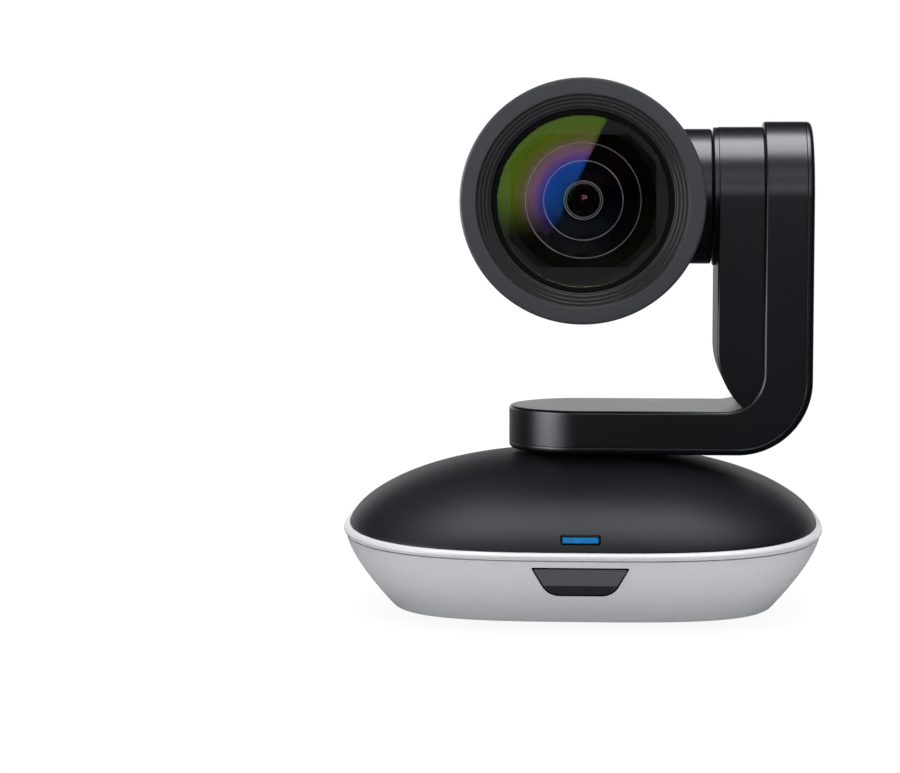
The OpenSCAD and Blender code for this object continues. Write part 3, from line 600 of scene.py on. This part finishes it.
def build_dome():
    radii = [DOME_A * math.sin(math.radians(a)) for a in steps_between(90, 10, 54)]
    outer = [[DOME_A - 0.05, DOME_B - 0.05, SQUARENESS, SEAM_Z + 0.06, SEAM_DIP]]
    outer += [dome_ring(r) for r in radii[2:] if r > DOME_HOLE]
    inner = [dome_ring(r, WALL) for r in reversed(radii[4:]) if r > DOME_HOLE]
    under = [[DOME_A - WALL, DOME_B - WALL, SQUARENESS, SEAM_Z, SEAM_DIP],
             [DOME_A - 0.35, DOME_B - 0.35, SQUARENESS, SEAM_Z, SEAM_DIP]]
    points, faces = ring_loft(outer + inner + under)
    dome = add_piece("dome_cover", points, faces, "base", "dome_plastic", slot="black_plastic",
                     replaces=["base_top_cover"])
    room = box_outline(LED_W + 0.3, LED_H + 0.3, 0.75)
    cut(dome, [cutter(*prism(room, led_place, -4, 5))])


def build_led():
    """A thin black frame round the status light's window."""
    outer = (LED_W, LED_H, 0.7)
    inner = (LED_W - 0.9, LED_H - 1.1, 0.4)
    levels = [(outer, 0, 3.2), (outer, 0, 0.1), (outer, 0.1, -0.08), (outer, 0.25, -0.15),
              (inner, -0.15, -0.15), (inner, 0, 0.0), (inner, 0, 3.2)]
    points = []
    for (w, h, radius), inset, depth in levels:
        outline = box_outline(w - 2 * inset, h - 2 * inset, radius)
        points += [led_place(u, v, depth) for u, v in outline]
    faces = closed_bands(len(levels), len(outline))
    add_piece("led_frame", points, faces, "base", "lens_black", slot="black_plastic",
              replaces=["led_bezel"])
    light = box_outline(LED_W - 1.0, LED_H - 1.2, 0.35)
    points, faces = soft_prism(light, led_place, 0.12, 2.9, 0.1)
    add_piece("led_light", points, faces, "base", "led_lens", replaces=["led_light_pipe"])


def build_lip():
    # half width, half depth, height, dip
    section = [
        (BOWL_A - 2.6, BOWL_B - 2.6, BOWL_Z + 0.12, BOWL_DIP),
        (BOWL_A - 0.35, BOWL_B - 0.35, BOWL_Z + 0.12, BOWL_DIP),
        (BOWL_A + 0.05, BOWL_B + 0.0, BOWL_Z + 0.22, BOWL_DIP),
        (BOWL_A + 0.3, BOWL_B + 0.22, BOWL_Z + 0.45, BOWL_DIP + 0.1),
        (BOWL_A + 0.55, BOWL_B + 0.4, BOWL_Z + 0.8, BOWL_DIP + 0.2),
        (LIP_A, LIP_B, BOWL_Z + 1.25, BOWL_DIP + 0.28),
        (LIP_A - 0.1, LIP_B - 0.08, BOWL_Z + 1.7, BOWL_DIP + 0.38),
        (LIP_A - 0.4, LIP_B - 0.33, BOWL_Z + 2.15, BOWL_DIP + 0.46),
        (LIP_A - 0.85, LIP_B - 0.75, BOWL_Z + 2.55, BOWL_DIP + 0.54),
        (LIP_A - 1.4, LIP_B - 1.25, SEAM_Z - 0.2, SEAM_DIP),
        (DOME_A + 0.1, DOME_B + 0.1, SEAM_Z - 0.12, SEAM_DIP),
        (DOME_A - 2.6, DOME_B - 2.6, SEAM_Z - 0.12, SEAM_DIP)]
    points, faces = ring_loft([[a, b, SQUARENESS, z, dip] for a, b, z, dip in section])
    add_piece("lip_ring", points, faces, "base", "lip_paint", slot="silver_plastic",
              replaces=["rim_trim"], sharp=60)


def ir_outline(grow):
    """Trapezoid with rounded lower corners, as (x, z), grown by a margin."""
    half_top, half_low = IR_HALF_TOP + grow * 1.3, IR_HALF_LOW + grow
    top, low = IR_TOP + grow, IR_LOW - grow
    return rounded([(half_top, top, 0.5), (-half_top, top, 0.5), (-half_low, low, IR_CORNER),
                    (half_low, low, IR_CORNER)], steps=8)


def build_bowl():
    heights = steps_between(BOWL_FOOT, BOWL_Z - 0.25, 24)
    foot_a, foot_b = bowl_ring(BOWL_FOOT)[:2]
    rim_a, rim_b = bowl_ring(BOWL_Z)[:2]
    rings = [[foot_a - inset, foot_b - inset, SQUARENESS, UNDERSIDE + rise, 0]
             for inset, rise in ((2.6, 0), (1.7, 0.15), (0.9, 0.55))]
    rings += [bowl_ring(z) for z in heights]
    rings += [[rim_a - inset, rim_b - inset, SQUARENESS, BOWL_Z, BOWL_DIP]
              for inset in (0.3, WALL)]
    rings += [bowl_ring(z, -WALL) for z in reversed(heights[6:-1])]
    rings += [bowl_ring(5.2, -WALL - 0.8), [PLATE_A, PLATE_B, SQUARENESS, 3.7, 0],
              [PLATE_A, PLATE_B, SQUARENESS, UNDERSIDE, 0]]
    points, faces = ring_loft(rings)
    bowl = add_piece("lower_shell", points, faces, "base", "silver_plastic",
                     replaces=["base_lower_shell"])
    tray_low, tray_high = span("port_tray")
    tray = box_outline(tray_high.x * 2 + 0.2, tray_high.z - tray_low.z + 0.2, 1.2)
    tray = moved(tray, 0, (tray_high.z + tray_low.z) / 2)
    lock = moved(box_outline(LOCK_W, LOCK_H, LOCK_H / 2 - 0.01), LOCK_X, LOCK_Z)
    cut(bowl, [cutter(*prism(ir_outline(IR_SEAL + 0.01), along_y, -80, -40)),
               cutter(*prism(tray, along_y, *REAR_CUT)),
               cutter(*prism(lock, along_y, *REAR_CUT))])


def build_ir_window():
    """Smoked window that follows the wall, with a crease across it: steep above, leaning below."""
    outline = ir_outline(-IR_GAP)
    low, high = IR_LOW + IR_GAP + 0.02, IR_TOP - IR_GAP - 0.02
    levels, columns = 30, 48
    points, faces = [], []

    def half_width(z):
        crossing = []
        for (u0, v0), (u1, v1) in zip(outline, outline[1:] + outline[:1]):
            if (v0 - z) * (v1 - z) <= 0 and abs(v1 - v0) > 1e-9:
                crossing.append(abs(u0 + (u1 - u0) * (z - v0) / (v1 - v0)))
        return max(crossing)

    def face_y(x, z, edge):
        rise = IR_BULGE * (1 - abs(z - IR_CREASE) / (IR_TOP - IR_CREASE if z > IR_CREASE
                                                     else IR_CREASE - IR_LOW))
        return wall_y(x, z) - (IR_PROUD + rise) * edge

    for back in (False, True):
        for z in steps_between(low, high, levels):
            half = half_width(z)
            for c in range(columns + 1):
                x = half * (2 * c / columns - 1)
                near_side = min(1.0, (half - abs(x)) / 0.5 + 0.1)
                near_end = min(1.0, (z - low) / 0.4, (high - z) / 0.4 + 0.1)
                edge = min(near_side, near_end)
                points.append((x, wall_y(x, z) + IR_THICK if back else face_y(x, z, edge), z))
    row = columns + 1
    sheet = (levels + 1) * row
    for k in range(levels):
        for c in range(columns):
            a = k * row + c
            faces.append((a, a + 1, a + row + 1, a + row))
            faces.append((sheet + a, sheet + a + row, sheet + a + row + 1, sheet + a + 1))
    for k in range(levels):
        for c in (0, columns):
            a, b = k * row + c, (k + 1) * row + c
            faces.append((a, b, sheet + b, sheet + a))
    for c in range(columns):
        for k in (0, levels):
            a = k * row + c
            faces.append((a, a + 1, sheet + a + 1, sheet + a))
    add_piece("infrared_window", points, faces, "base", "infrared_window", replaces=["ir_window"],
              sharp=14)


def build_ir_seal():
    """A thin black seal that fills the gap between the window and the wall."""
    points = []
    levels = ((IR_SEAL, 0.1), (IR_SEAL, 1.5), (0.01 - IR_GAP, 1.5), (0.01 - IR_GAP, 0.1))
    for grow, depth in levels:
        outline = ir_outline(grow)
        points += [(x, wall_y(x, z) + depth, z) for x, z in outline]
    faces = closed_bands(len(levels), len(outline))
    add_piece("infrared_seal", points, faces, "base", "lens_black", slot="dark_plastic",
              replaces=["ir_window"])


def build_underside():
    plate_low, plate_high = span("bottom_plate")
    outline = superellipse(plate_high.x - 0.1, plate_high.y - 0.1, SQUARENESS, 96)
    points, faces = soft_prism(outline, along_z, plate_low.z + 0.05, plate_high.z, 0.4)
    plate = add_piece("underside_plate", points, faces, "base", "dark_plastic",
                      replaces=["bottom_plate"])
    foot_low, foot_high = span("rubber_feet")
    floor = foot_low.z + FOOT_HOLLOW
    section = rounded([(0, foot_high.z, 0), (FOOT_R, foot_high.z, 0.1), (FOOT_R, foot_low.z, 0.5),
                       (4.6, foot_low.z, 0.2), (4.2, floor, 0.1), (0, floor, 0)])
    screw_x, screw_y, screw_r = PLATE_SCREW
    holes = []
    for sx in (-1, 1):
        for sy in (-1, 1):
            screw = circle(sx * screw_x, sy * screw_y, screw_r, 30)
            holes.append(cutter(*prism(screw, along_z, 0, 2.6)))
            points, faces = revolve(section, about_pan, 64)
            points = [(x + sx * (foot_high.x - FOOT_R), y + sy * (foot_high.y - FOOT_R), z)
                      for x, y, z in points]
            add_piece(f"foot_{sx + 1}{sy + 1}", points, faces, "base", "rubber",
                      replaces=["rubber_feet"])
    holes.append(cutter(*prism(circle(0, 0, INSERT_R, 60), along_z, 0, 9)))
    cut(plate, holes)


build_dome()
build_led()
build_lip()
build_bowl()
build_ir_window()
build_ir_seal()
build_underside()

# ---------------------------------------------------------------- arm

IN_X, IN_Z = ARM_X0 - CORNER_IN, ARM_Z1 + CORNER_IN
OUT_X, OUT_Z = ARM_X1 - CORNER_OUT, ARM_Z0 + CORNER_OUT
BAR_RUN, CORNER_RUN, UPRIGHT_RUN = IN_X, 32.0, TILT_Z - IN_Z
RUN = BAR_RUN + CORNER_RUN + UPRIGHT_RUN


def arm_sides(s):
    """Inner and outer point of the L at a distance s along it, in the X-Z plane."""
    if s <= 0:
        return Vector((s, ARM_Z1)), Vector((s, ARM_Z0))
    if s < BAR_RUN:
        return Vector((s, ARM_Z1)), Vector((s * OUT_X / BAR_RUN, ARM_Z0))
    if s <= BAR_RUN + CORNER_RUN:
        turn = math.pi / 2 * (s - BAR_RUN) / CORNER_RUN
        way = Vector((math.sin(turn), -math.cos(turn)))
        return Vector((IN_X, IN_Z)) + way * CORNER_IN, Vector((OUT_X, OUT_Z)) + way * CORNER_OUT
    if s < RUN:
        share = (s - BAR_RUN - CORNER_RUN) / UPRIGHT_RUN
        return (Vector((ARM_X0, IN_Z + share * (TILT_Z - IN_Z))),
                Vector((ARM_X1, OUT_Z + share * (TILT_Z - OUT_Z))))
    return Vector((ARM_X0, TILT_Z + s - RUN)), Vector((ARM_X1, TILT_Z + s - RUN))


def arm_place(s, y, side, depth):
    inner, outer = arm_sides(s)
    across = (outer - inner).normalized()
    spot = inner + across * depth if side == "in" else outer - across * depth
    return (spot.x, y, spot.y)


def capsule_outline(radius, run, round_start, stations):
    """Outline of a strip with round ends, as (s, y), symmetric about y = 0 and closed."""
    turns = steps_between(0, math.pi / 2, 40)
    if round_start:
        half = [(-radius * math.cos(t), radius * math.sin(t)) for t in turns[:-1]]
    else:
        half = [(stations[0], 0.0)]
    half += [(s, radius) for s in stations]
    half += [(run + radius * math.sin(t), radius * math.cos(t)) for t in turns[1:]]
    return half + [(s, -y) for s, y in reversed(half[1:-1])]


def strip_solid(profile, outline, place):
    """Closed solid from rings of an outline drawn in by an inset. profile: (inset, side, depth)."""
    points, faces = [], []
    for inset, side, depth in profile:
        points += [place(s, y, side, depth) for s, y in outline(inset)]
    n = len(outline(0))
    last = (len(profile) - 1) * n
    for low in range(0, last, n):
        faces += band(low, low + n, n)
    for base in (0, last):
        faces.append((base, base + 1, base + n - 1))
        faces += [(base + i, base + i + 1, base + n - i - 1, base + n - i)
                  for i in range(1, n // 2 - 1)]
        faces.append((base + n // 2 - 1, base + n // 2, base + n // 2 + 1))
    return points, faces


def edge_round(radius, side, steps=5, offset=0.0):
    """Profile of a rounded edge from the flat face (inset) round to the side wall."""
    flat = [(radius + 1.2, side, offset), (radius + 0.15, side, offset)]
    return flat + [(radius * (1 - math.sin(t)), side, offset + radius * (1 - math.cos(t)))
                   for t in steps_between(0, math.pi / 2, steps)]


def arm_outline(inset):
    corner_end = BAR_RUN + CORNER_RUN
    stations = (steps_between(0, BAR_RUN, 10) + steps_between(BAR_RUN, corner_end, 40)[1:]
                + steps_between(corner_end, RUN, 10)[1:])
    return capsule_outline(ARM_R - inset, RUN, True, stations)


def tail_x(z):
    """Left side of the leaf's tail."""
    return LEAF_X0 + TAIL_R - math.sqrt(max(0.0, TAIL_R ** 2 - (z - TAIL_Z) ** 2))


def corner_x(z):
    """The arm's surface in its inner corner."""
    return IN_X + math.sqrt(max(0.0, CORNER_IN ** 2 - (z - IN_Z) ** 2))


def leaf_tip():
    """Height where the leaf's tail meets the arm's inner corner."""
    low, high = ARM_Z1, TAIL_Z
    for _ in range(40):
        z = (low + high) / 2
        right = corner_x(z) if z < IN_Z else ARM_X0
        low, high = (z, high) if tail_x(z) > right else (low, z)
    return high


TIP_Z = leaf_tip() - 0.8


def leaf_place(s, y, side, depth):
    """s is the height above the tip; depth is measured along X from the left or right face."""
    z = TIP_Z + s
    left = tail_x(z) if z < TAIL_Z else LEAF_X0
    right = corner_x(z) + 0.6 if z < IN_Z else ARM_X0 - 0.05
    right = max(right, left + 0.8)
    depth = min(depth, (right - left) * 0.45)
    return (left + depth if side == "in" else right - depth, y, z)


def leaf_outline(inset):
    tail, run = TAIL_Z - TIP_Z, TILT_Z - TIP_Z
    stations = steps_between(0, tail, 30) + steps_between(tail, run, 8)[1:]
    return capsule_outline(LEAF_R - inset, run, False, stations)


def build_arm():
    seam = COVER_T + 0.07
    shell = edge_round(1.0, "in") + list(reversed(edge_round(0.1, "out", 2, seam)))
    cover = edge_round(1.5, "out", 7) + [(0.0, "out", COVER_T - 0.1), (0.1, "out", COVER_T),
                                         (1.2, "out", COVER_T)]
    leaf = edge_round(0.7, "in", 6) + [(0.0, "out", 0.3), (0.25, "out", 0.0), (1.5, "out", 0.0)]
    for name, profile, outline, place, node in (
            ("arm_body", shell, arm_outline, arm_place, "arm_shell"),
            ("arm_outer_cover", cover, arm_outline, arm_place, "arm_cover"),
            ("arm_leaf_cover", leaf, leaf_outline, leaf_place, "arm_inner_cover")):
        points, faces = strip_solid(profile, outline, place)
        add_piece(name, points, faces, "arm", "black_plastic", replaces=[node], sharp=50)
    left, right, radius = LEAF_X0 - COLLAR_T, LEAF_X0 + 1.5, LEAF_R - 0.15
    collar = [(SHAFT_HOLE, left), (radius, left, 0.25), (radius, right), (SHAFT_HOLE, right)]
    turned("arm_collar", rounded(collar, 0.1), about_tilt, "arm", "black_plastic",
           replaces=["arm_inner_cover"])


build_arm()

# ---------------------------------------------------------------- head

def build_ring():
    back, rear = RING_Y + 9, RING_Y + 10.8
    section = [(RING_R, RING_Y, 0.8), (RING_FACE, RING_Y, 0.2), (RING_FACE, back),
               (RING_R - 4.2, back), (RING_R - 4.2, rear), (RING_R - 0.9, rear, 0.4)]
    turned("front_hood_ring", rounded(section, 0.2), about_lens, "head", "ring_plastic", 240,
           replaces=["front_ring"], sharp=30)
    start = RING_Y + STEP_START
    steps = [(RING_FACE - 0.02, back), (RING_FACE - 0.02, start, 0.05)]
    for k in range(STEPS):
        r, depth = RING_FACE - STEP_R * k, start + STEP_Y * k
        steps += [(r - 0.3, depth, 0.14), (r - 0.42, depth + STEP_Y, 0.1)]
    last = RING_FACE - STEP_R * STEPS
    steps += [(last, start + STEP_Y * STEPS, 0.14), (last, back)]
    # the steps take the ring's plastic painted darker, as painted shade in the hood's recess
    turned("hood_steps", rounded(steps, 0.1), about_lens, "head", "step_plastic", 240,
           slot="ring_plastic", replaces=["front_ring"], sharp=30)
    inner, outer, end = GLASS_R + 0.02, GLASS_R + 1.7, GLASS_Y + GLASS_T
    gasket = [(inner, GLASS_Y + 0.55), (outer, GLASS_Y + 0.5), (outer, end), (inner, end)]
    turned("window_gasket", rounded(gasket, 0.1, 2), about_lens, "head", "lens_black",
           slot="matte_black", replaces=["glass_gasket"])


def build_glass():
    end = GLASS_Y + GLASS_T
    glass = [(0, GLASS_Y, 0), (GLASS_R, GLASS_Y, 0.25), (GLASS_R, end, 0.25), (0, end, 0)]
    turned("front_window_disc", rounded(glass), about_lens, "head", "front_window",
           replaces=["front_glass"])


def build_mask():
    low, high = span("lens_mask")
    front = low.y + 0.02
    section = rounded([(0, front, 0), (high.x, front, 0.1), (high.x, high.y, 0.1),
                       (0, high.y, 0)])
    mask = turned("lens_frame", section, about_lens, "head", "mask_print",
                  slot="matte_black", replaces=["lens_mask"])
    corners = []
    for sx, sz in ((1, 1), (-1, 1), (-1, -1), (1, -1)):
        pair = [(sx * MASK_W, sz * (MASK_H - MASK_CUT), 1.5),
                (sx * (MASK_W - MASK_CUT), sz * MASK_H, 1.5)]
        corners += pair if sx * sz > 0 else pair[::-1]
    cut(mask, [cutter(*prism(moved(rounded(corners), 0, LENS_Z), along_y, -40, -20))])


def build_lens():
    """What shows behind the glass: a curved lens, a stepped funnel, and thin white rings that are
    painted highlights on its edges.
    """
    vertex, front_radius, back_radius, edge = GLASS_Y + 3.7, 48.0, 52.0, 21.5
    reach = steps_between(0, edge, 24)
    section = [(r, vertex + front_radius - math.sqrt(front_radius ** 2 - r * r)) for r in reach]
    section += [(r, vertex + 1.3 + back_radius - math.sqrt(back_radius ** 2 - r * r))
                for r in reversed(reach)]
    turned("front_lens_glass", section, about_lens, "head", "coated_lens",
           replaces=["front_lens"])
    funnel = [(21.4, -23.8, 0.2), (17.4, -23.6, 0.2), (16.6, -22.8, 0.1), (12.1, -21.6, 0.2),
              (11.4, -20.6, 0.1), (6.4, -19.8, 0.2), (5.5, -19.0, 0.1), (5.0, -18.7, 0.1),
              (4.2, -18.3, 0.1), (0, -18.3, 0), (0, -17.6, 0), (15.8, -17.6, 0.1),
              (15.8, -21.3, 0.1), (21.4, -21.3, 0.2)]
    turned("lens_funnel", rounded(funnel, 0.2, 3), about_lens, "head", "lens_black",
           slot="matte_black", replaces=["lens_retainer"])
    # painted highlights: thin white rings where the funnel's edges catch the light
    for name, radius, y, width in (("outer", 17.0, -23.4, 0.15), ("middle", 11.7, -21.35, 0.17),
                                   ("inner", 5.65, -19.5, 0.15), ("core", 5.05, -18.95, 0.1)):
        section = [(radius + width * math.cos(t), y + width * 0.6 * math.sin(t))
                   for t in steps_between(0, 2 * math.pi, 12)[:-1]]
        turned("ring_line_" + name, section, about_lens, "head", "thin_ring",
               slot="dark_plastic")
    core = [(3.6 * math.sin(t), -20.1 + 3.4 * (1 - math.cos(t)))
            for t in steps_between(0, math.radians(60), 14)]
    turned("core_lens", core + [(core[-1][0], -18.2), (0, -18.2)], about_lens, "head",
           "core_lens", 64, slot="coated_lens")


def hub_cutter():
    """Room for the hub in the right side of the head's housing."""
    radius = HUB_R + HUB_ROOM
    return cutter(*revolve([(0, 18), (radius, 18), (radius, 50), (0, 50)], about_tilt))


def build_shells():
    front = [(RING_R - 1.6, -27.0, 0.3), (RING_R - 1.8, -20.0, 2), (RING_R - 2.4, -10.0, 2),
             (RING_R - 3.4, -0.05, 0.2), (RING_R - 5.4, -0.05, 0.1), (RING_R - 4.4, -10.0, 2),
             (RING_R - 3.8, -20.0, 2), (RING_R - 3.6, -27.0, 0.1)]
    shell = turned("head_front_housing", rounded(front, steps=5), about_lens, "head",
                   "black_plastic", 200, replaces=["head_front_shell"])
    cut(shell, [hub_cutter()])

    def rear_profile(inset):
        curve = [(12 + (RING_R - 15.6 - inset) * math.cos(t), 13 + (20.5 - inset) * math.sin(t))
                 for t in steps_between(0, math.radians(82), 24)]
        return [(RING_R - 3.4 - inset, 0.1)] + curve + [(0, REAR_Y - inset)]

    rear = rear_profile(0.0) + list(reversed(rear_profile(WALL - 0.2)))
    shell = turned("head_rear_housing", rear, about_lens, "head", "black_plastic", 200,
                   replaces=["head_rear_shell"])
    holes = [hub_cutter()]
    for turn in (90, 210, 330):
        a = math.radians(turn)
        x, z = REAR_SCREW_AT * math.cos(a), LENS_Z - REAR_SCREW_AT * math.sin(a)
        holes.append(cutter(*prism(circle(x, z, REAR_SCREW_R, 30), along_y, 31.6, 40)))
    cut(shell, holes)


def build_hub():
    """The round cap that shows beside the ring, open towards the head."""
    bore, back = 6.4, HUB_X1 - 2.1
    section = [(bore, back), (HUB_R - 2, back), (HUB_R - 2, hub_low.x), (HUB_R, hub_low.x),
               (HUB_R, HUB_X1, 0.8), (bore, HUB_X1)]
    turned("hub_cap", rounded(section, 0.2, 5), about_tilt, "head", "black_plastic", 180,
           replaces=["tilt_hub"])


build_ring()
build_glass()
build_mask()
build_lens()
build_shells()
build_hub()

# ---------------------------------------------------------------- stage and light

def area_light(name, where, size, power):
    """A soft rectangular light that looks at the middle of the camera."""
    data = bpy.data.lights.new(name, "AREA")
    data.shape = "RECTANGLE"
    data.size, data.size_y = size
    data.energy = power
    light = linked(name, data)
    light.location = where
    aim = Vector((0.0, 0.0, 0.09)) - Vector(where)
    light.rotation_euler = aim.to_track_quat("-Z", "Y").to_euler()


area_light("top_softbox", (0.0, -0.02, 1.15), (0.9, 0.78), 20.8)
area_light("high_fill", (0.2, -1.15, 0.98), (1.4, 0.5), 3.3)
area_light("low_fill", (0.25, -1.42, 0.48), (1.15, 0.34), 2.9)


def emission(nodes, strength=1.0):
    """An emission shader, as its strength socket and its output."""
    emit = nodes.new("ShaderNodeEmission")
    emit.inputs["Strength"].default_value = strength
    return emit.inputs["Strength"], emit.outputs["Emission"]


def mix(nodes, links, fac, first, second):
    """Shader first where fac is 0, second where it is 1."""
    mixed = nodes.new("ShaderNodeMixShader")
    for socket, source in zip(mixed.inputs, (fac, first, second)):
        links.new(source, socket)
    return mixed.outputs["Shader"]


def stage_sheet(name, corners, material):
    mesh = bpy.data.meshes.new(name)
    mesh.from_pydata(corners, [], [(0, 1, 2, 3)])
    mesh.materials.append(material)
    sheet = linked(name, mesh)
    return sheet


def mirrored_only(card):
    card.visible_camera = False
    card.visible_diffuse = False
    card.visible_shadow = False


def side_card():
    """A tall card close by on the left, brightest down its middle, seen only in glossy surfaces."""
    turn, away, half, top, peak = math.radians(54), 0.42, 0.27, 0.30, 8.5
    lift = Vector((0, 0, 0.001))
    middle = Vector((-math.sin(turn), -math.cos(turn), 0)) * away
    along = Vector((math.cos(turn), -math.sin(turn), 0)) * half
    corners = [middle - along, middle + along]
    corners += [corner + Vector((0, 0, top)) for corner in reversed(corners)]
    material, nodes, links, surface = blank_material("side_light")
    strength, light = emission(nodes)
    links.new(light, surface)
    coords = nodes.new("ShaderNodeTexCoord")
    shift = nodes.new("ShaderNodeVectorMath")
    shift.operation = "SUBTRACT"
    shift.inputs[1].default_value = middle
    across = nodes.new("ShaderNodeVectorMath")
    across.operation = "DOT_PRODUCT"
    across.inputs[1].default_value = along / half ** 2
    size = nodes.new("ShaderNodeMath")
    size.operation = "ABSOLUTE"
    links.new(coords.outputs["Object"], shift.inputs[0])
    links.new(shift.outputs["Vector"], across.inputs[0])
    links.new(across.outputs["Value"], size.inputs[0])
    links.new(map_range(nodes, links, size.outputs["Value"], (1.0, 0.0), (0.0, peak), True),
              strength)
    card = stage_sheet("side_card", [corner + lift for corner in corners], material)
    mirrored_only(card)
    card.visible_transmission = False


def build_card():
    """A bright card behind the camera that the flat front window mirrors, with a slanting edge."""
    distance = 1.0
    reach = EYE.y - GLASS_Y * MM

    def mirrored(x, z):
        """Where the card is seen from the eye by way of the glass point (x, z), in millimetres."""
        spot = Vector((x, 0, z)) * MM
        place = spot + (spot - Vector((EYE.x, 0, EYE.z))) * (distance / -reach)
        return (place.x, GLASS_Y * MM - distance, place.z)

    edge = ((7.6, 25.5), (-9.6, -11.5), (-30, -11.5), (-30, 28))
    material, nodes, links, surface = blank_material("card_light")
    strength, light = emission(nodes)
    links.new(light, surface)
    height = coordinates(nodes, links)["Z"]
    links.new(map_range(nodes, links, height, (0.078, 0.110), (0.0, 1.33), True), strength)
    mirrored_only(stage_sheet("card", [mirrored(x, LENS_Z + z) for x, z in edge], material))


def build_floor():
    """White to the camera but for a contact shade, pale to bounced light, dull in reflections."""
    half, level = 6.0, -0.05 * MM
    material, nodes, links, surface = blank_material("floor")
    rays = nodes.new("ShaderNodeLightPath").outputs
    lit = nodes.new("ShaderNodeBsdfDiffuse")
    lit.inputs["Color"].default_value = (0.54, 0.54, 0.54, 1)
    bounce = nodes.new("ShaderNodeAddShader")
    links.new(lit.outputs["BSDF"], bounce.inputs[0])
    links.new(emission(nodes, 0.34)[1], bounce.inputs[1])
    gloss_strength, gloss = emission(nodes)
    behind = coordinates(nodes, links)["Y"]
    links.new(map_range(nodes, links, behind, (0.1, 0.6), (0.012, 0.35), True), gloss_strength)
    shade = nodes.new("ShaderNodeAmbientOcclusion")
    shade.inputs["Distance"].default_value = 0.014
    white_strength, white = emission(nodes)
    links.new(map_range(nodes, links, shade.outputs["AO"], end=(0.93, 1.02)), white_strength)
    other = mix(nodes, links, rays["Is Glossy Ray"], bounce.outputs["Shader"], gloss)
    seen = mix(nodes, links, rays["Is Camera Ray"], other, white)
    below = nodes.new("ShaderNodeNewGeometry").outputs["Backfacing"]
    clear = nodes.new("ShaderNodeBsdfTransparent").outputs["BSDF"]
    links.new(mix(nodes, links, below, seen, clear), surface)
    stage_sheet("floor", [(-half, -half, level), (half, -half, level), (half, half, level),
                          (-half, half, level)], material)


def build_world():
    """White to the camera; dim to the object, with a bright band low behind it."""
    world = bpy.data.worlds.new("studio")
    bpy.context.scene.world = world
    world.use_nodes = True
    nodes, links = world.node_tree.nodes, world.node_tree.links
    nodes.clear()
    output = nodes.new("ShaderNodeOutputWorld")
    white = nodes.new("ShaderNodeBackground")
    white.inputs["Color"].default_value = (1, 1, 1, 1)
    white.inputs["Strength"].default_value = 1.0
    dim = nodes.new("ShaderNodeBackground")
    way = coordinates(nodes, links, "Generated")
    band_node = nodes.new("ShaderNodeMath")
    band_node.operation = "MULTIPLY"
    links.new(map_range(nodes, links, way["Z"], (0.36, 0.06), smooth=True), band_node.inputs[0])
    links.new(map_range(nodes, links, way["Y"], (0.2, 0.8), smooth=True), band_node.inputs[1])
    links.new(map_range(nodes, links, band_node.outputs["Value"], end=(0.007, 1.8)),
              dim.inputs["Strength"])
    rays = nodes.new("ShaderNodeLightPath").outputs
    links.new(mix(nodes, links, rays["Is Camera Ray"], dim.outputs["Background"],
                  white.outputs["Background"]), output.inputs["Surface"])


side_card()
build_card()
build_floor()
build_world()
bpy.context.scene.view_settings.view_transform = "Standard"
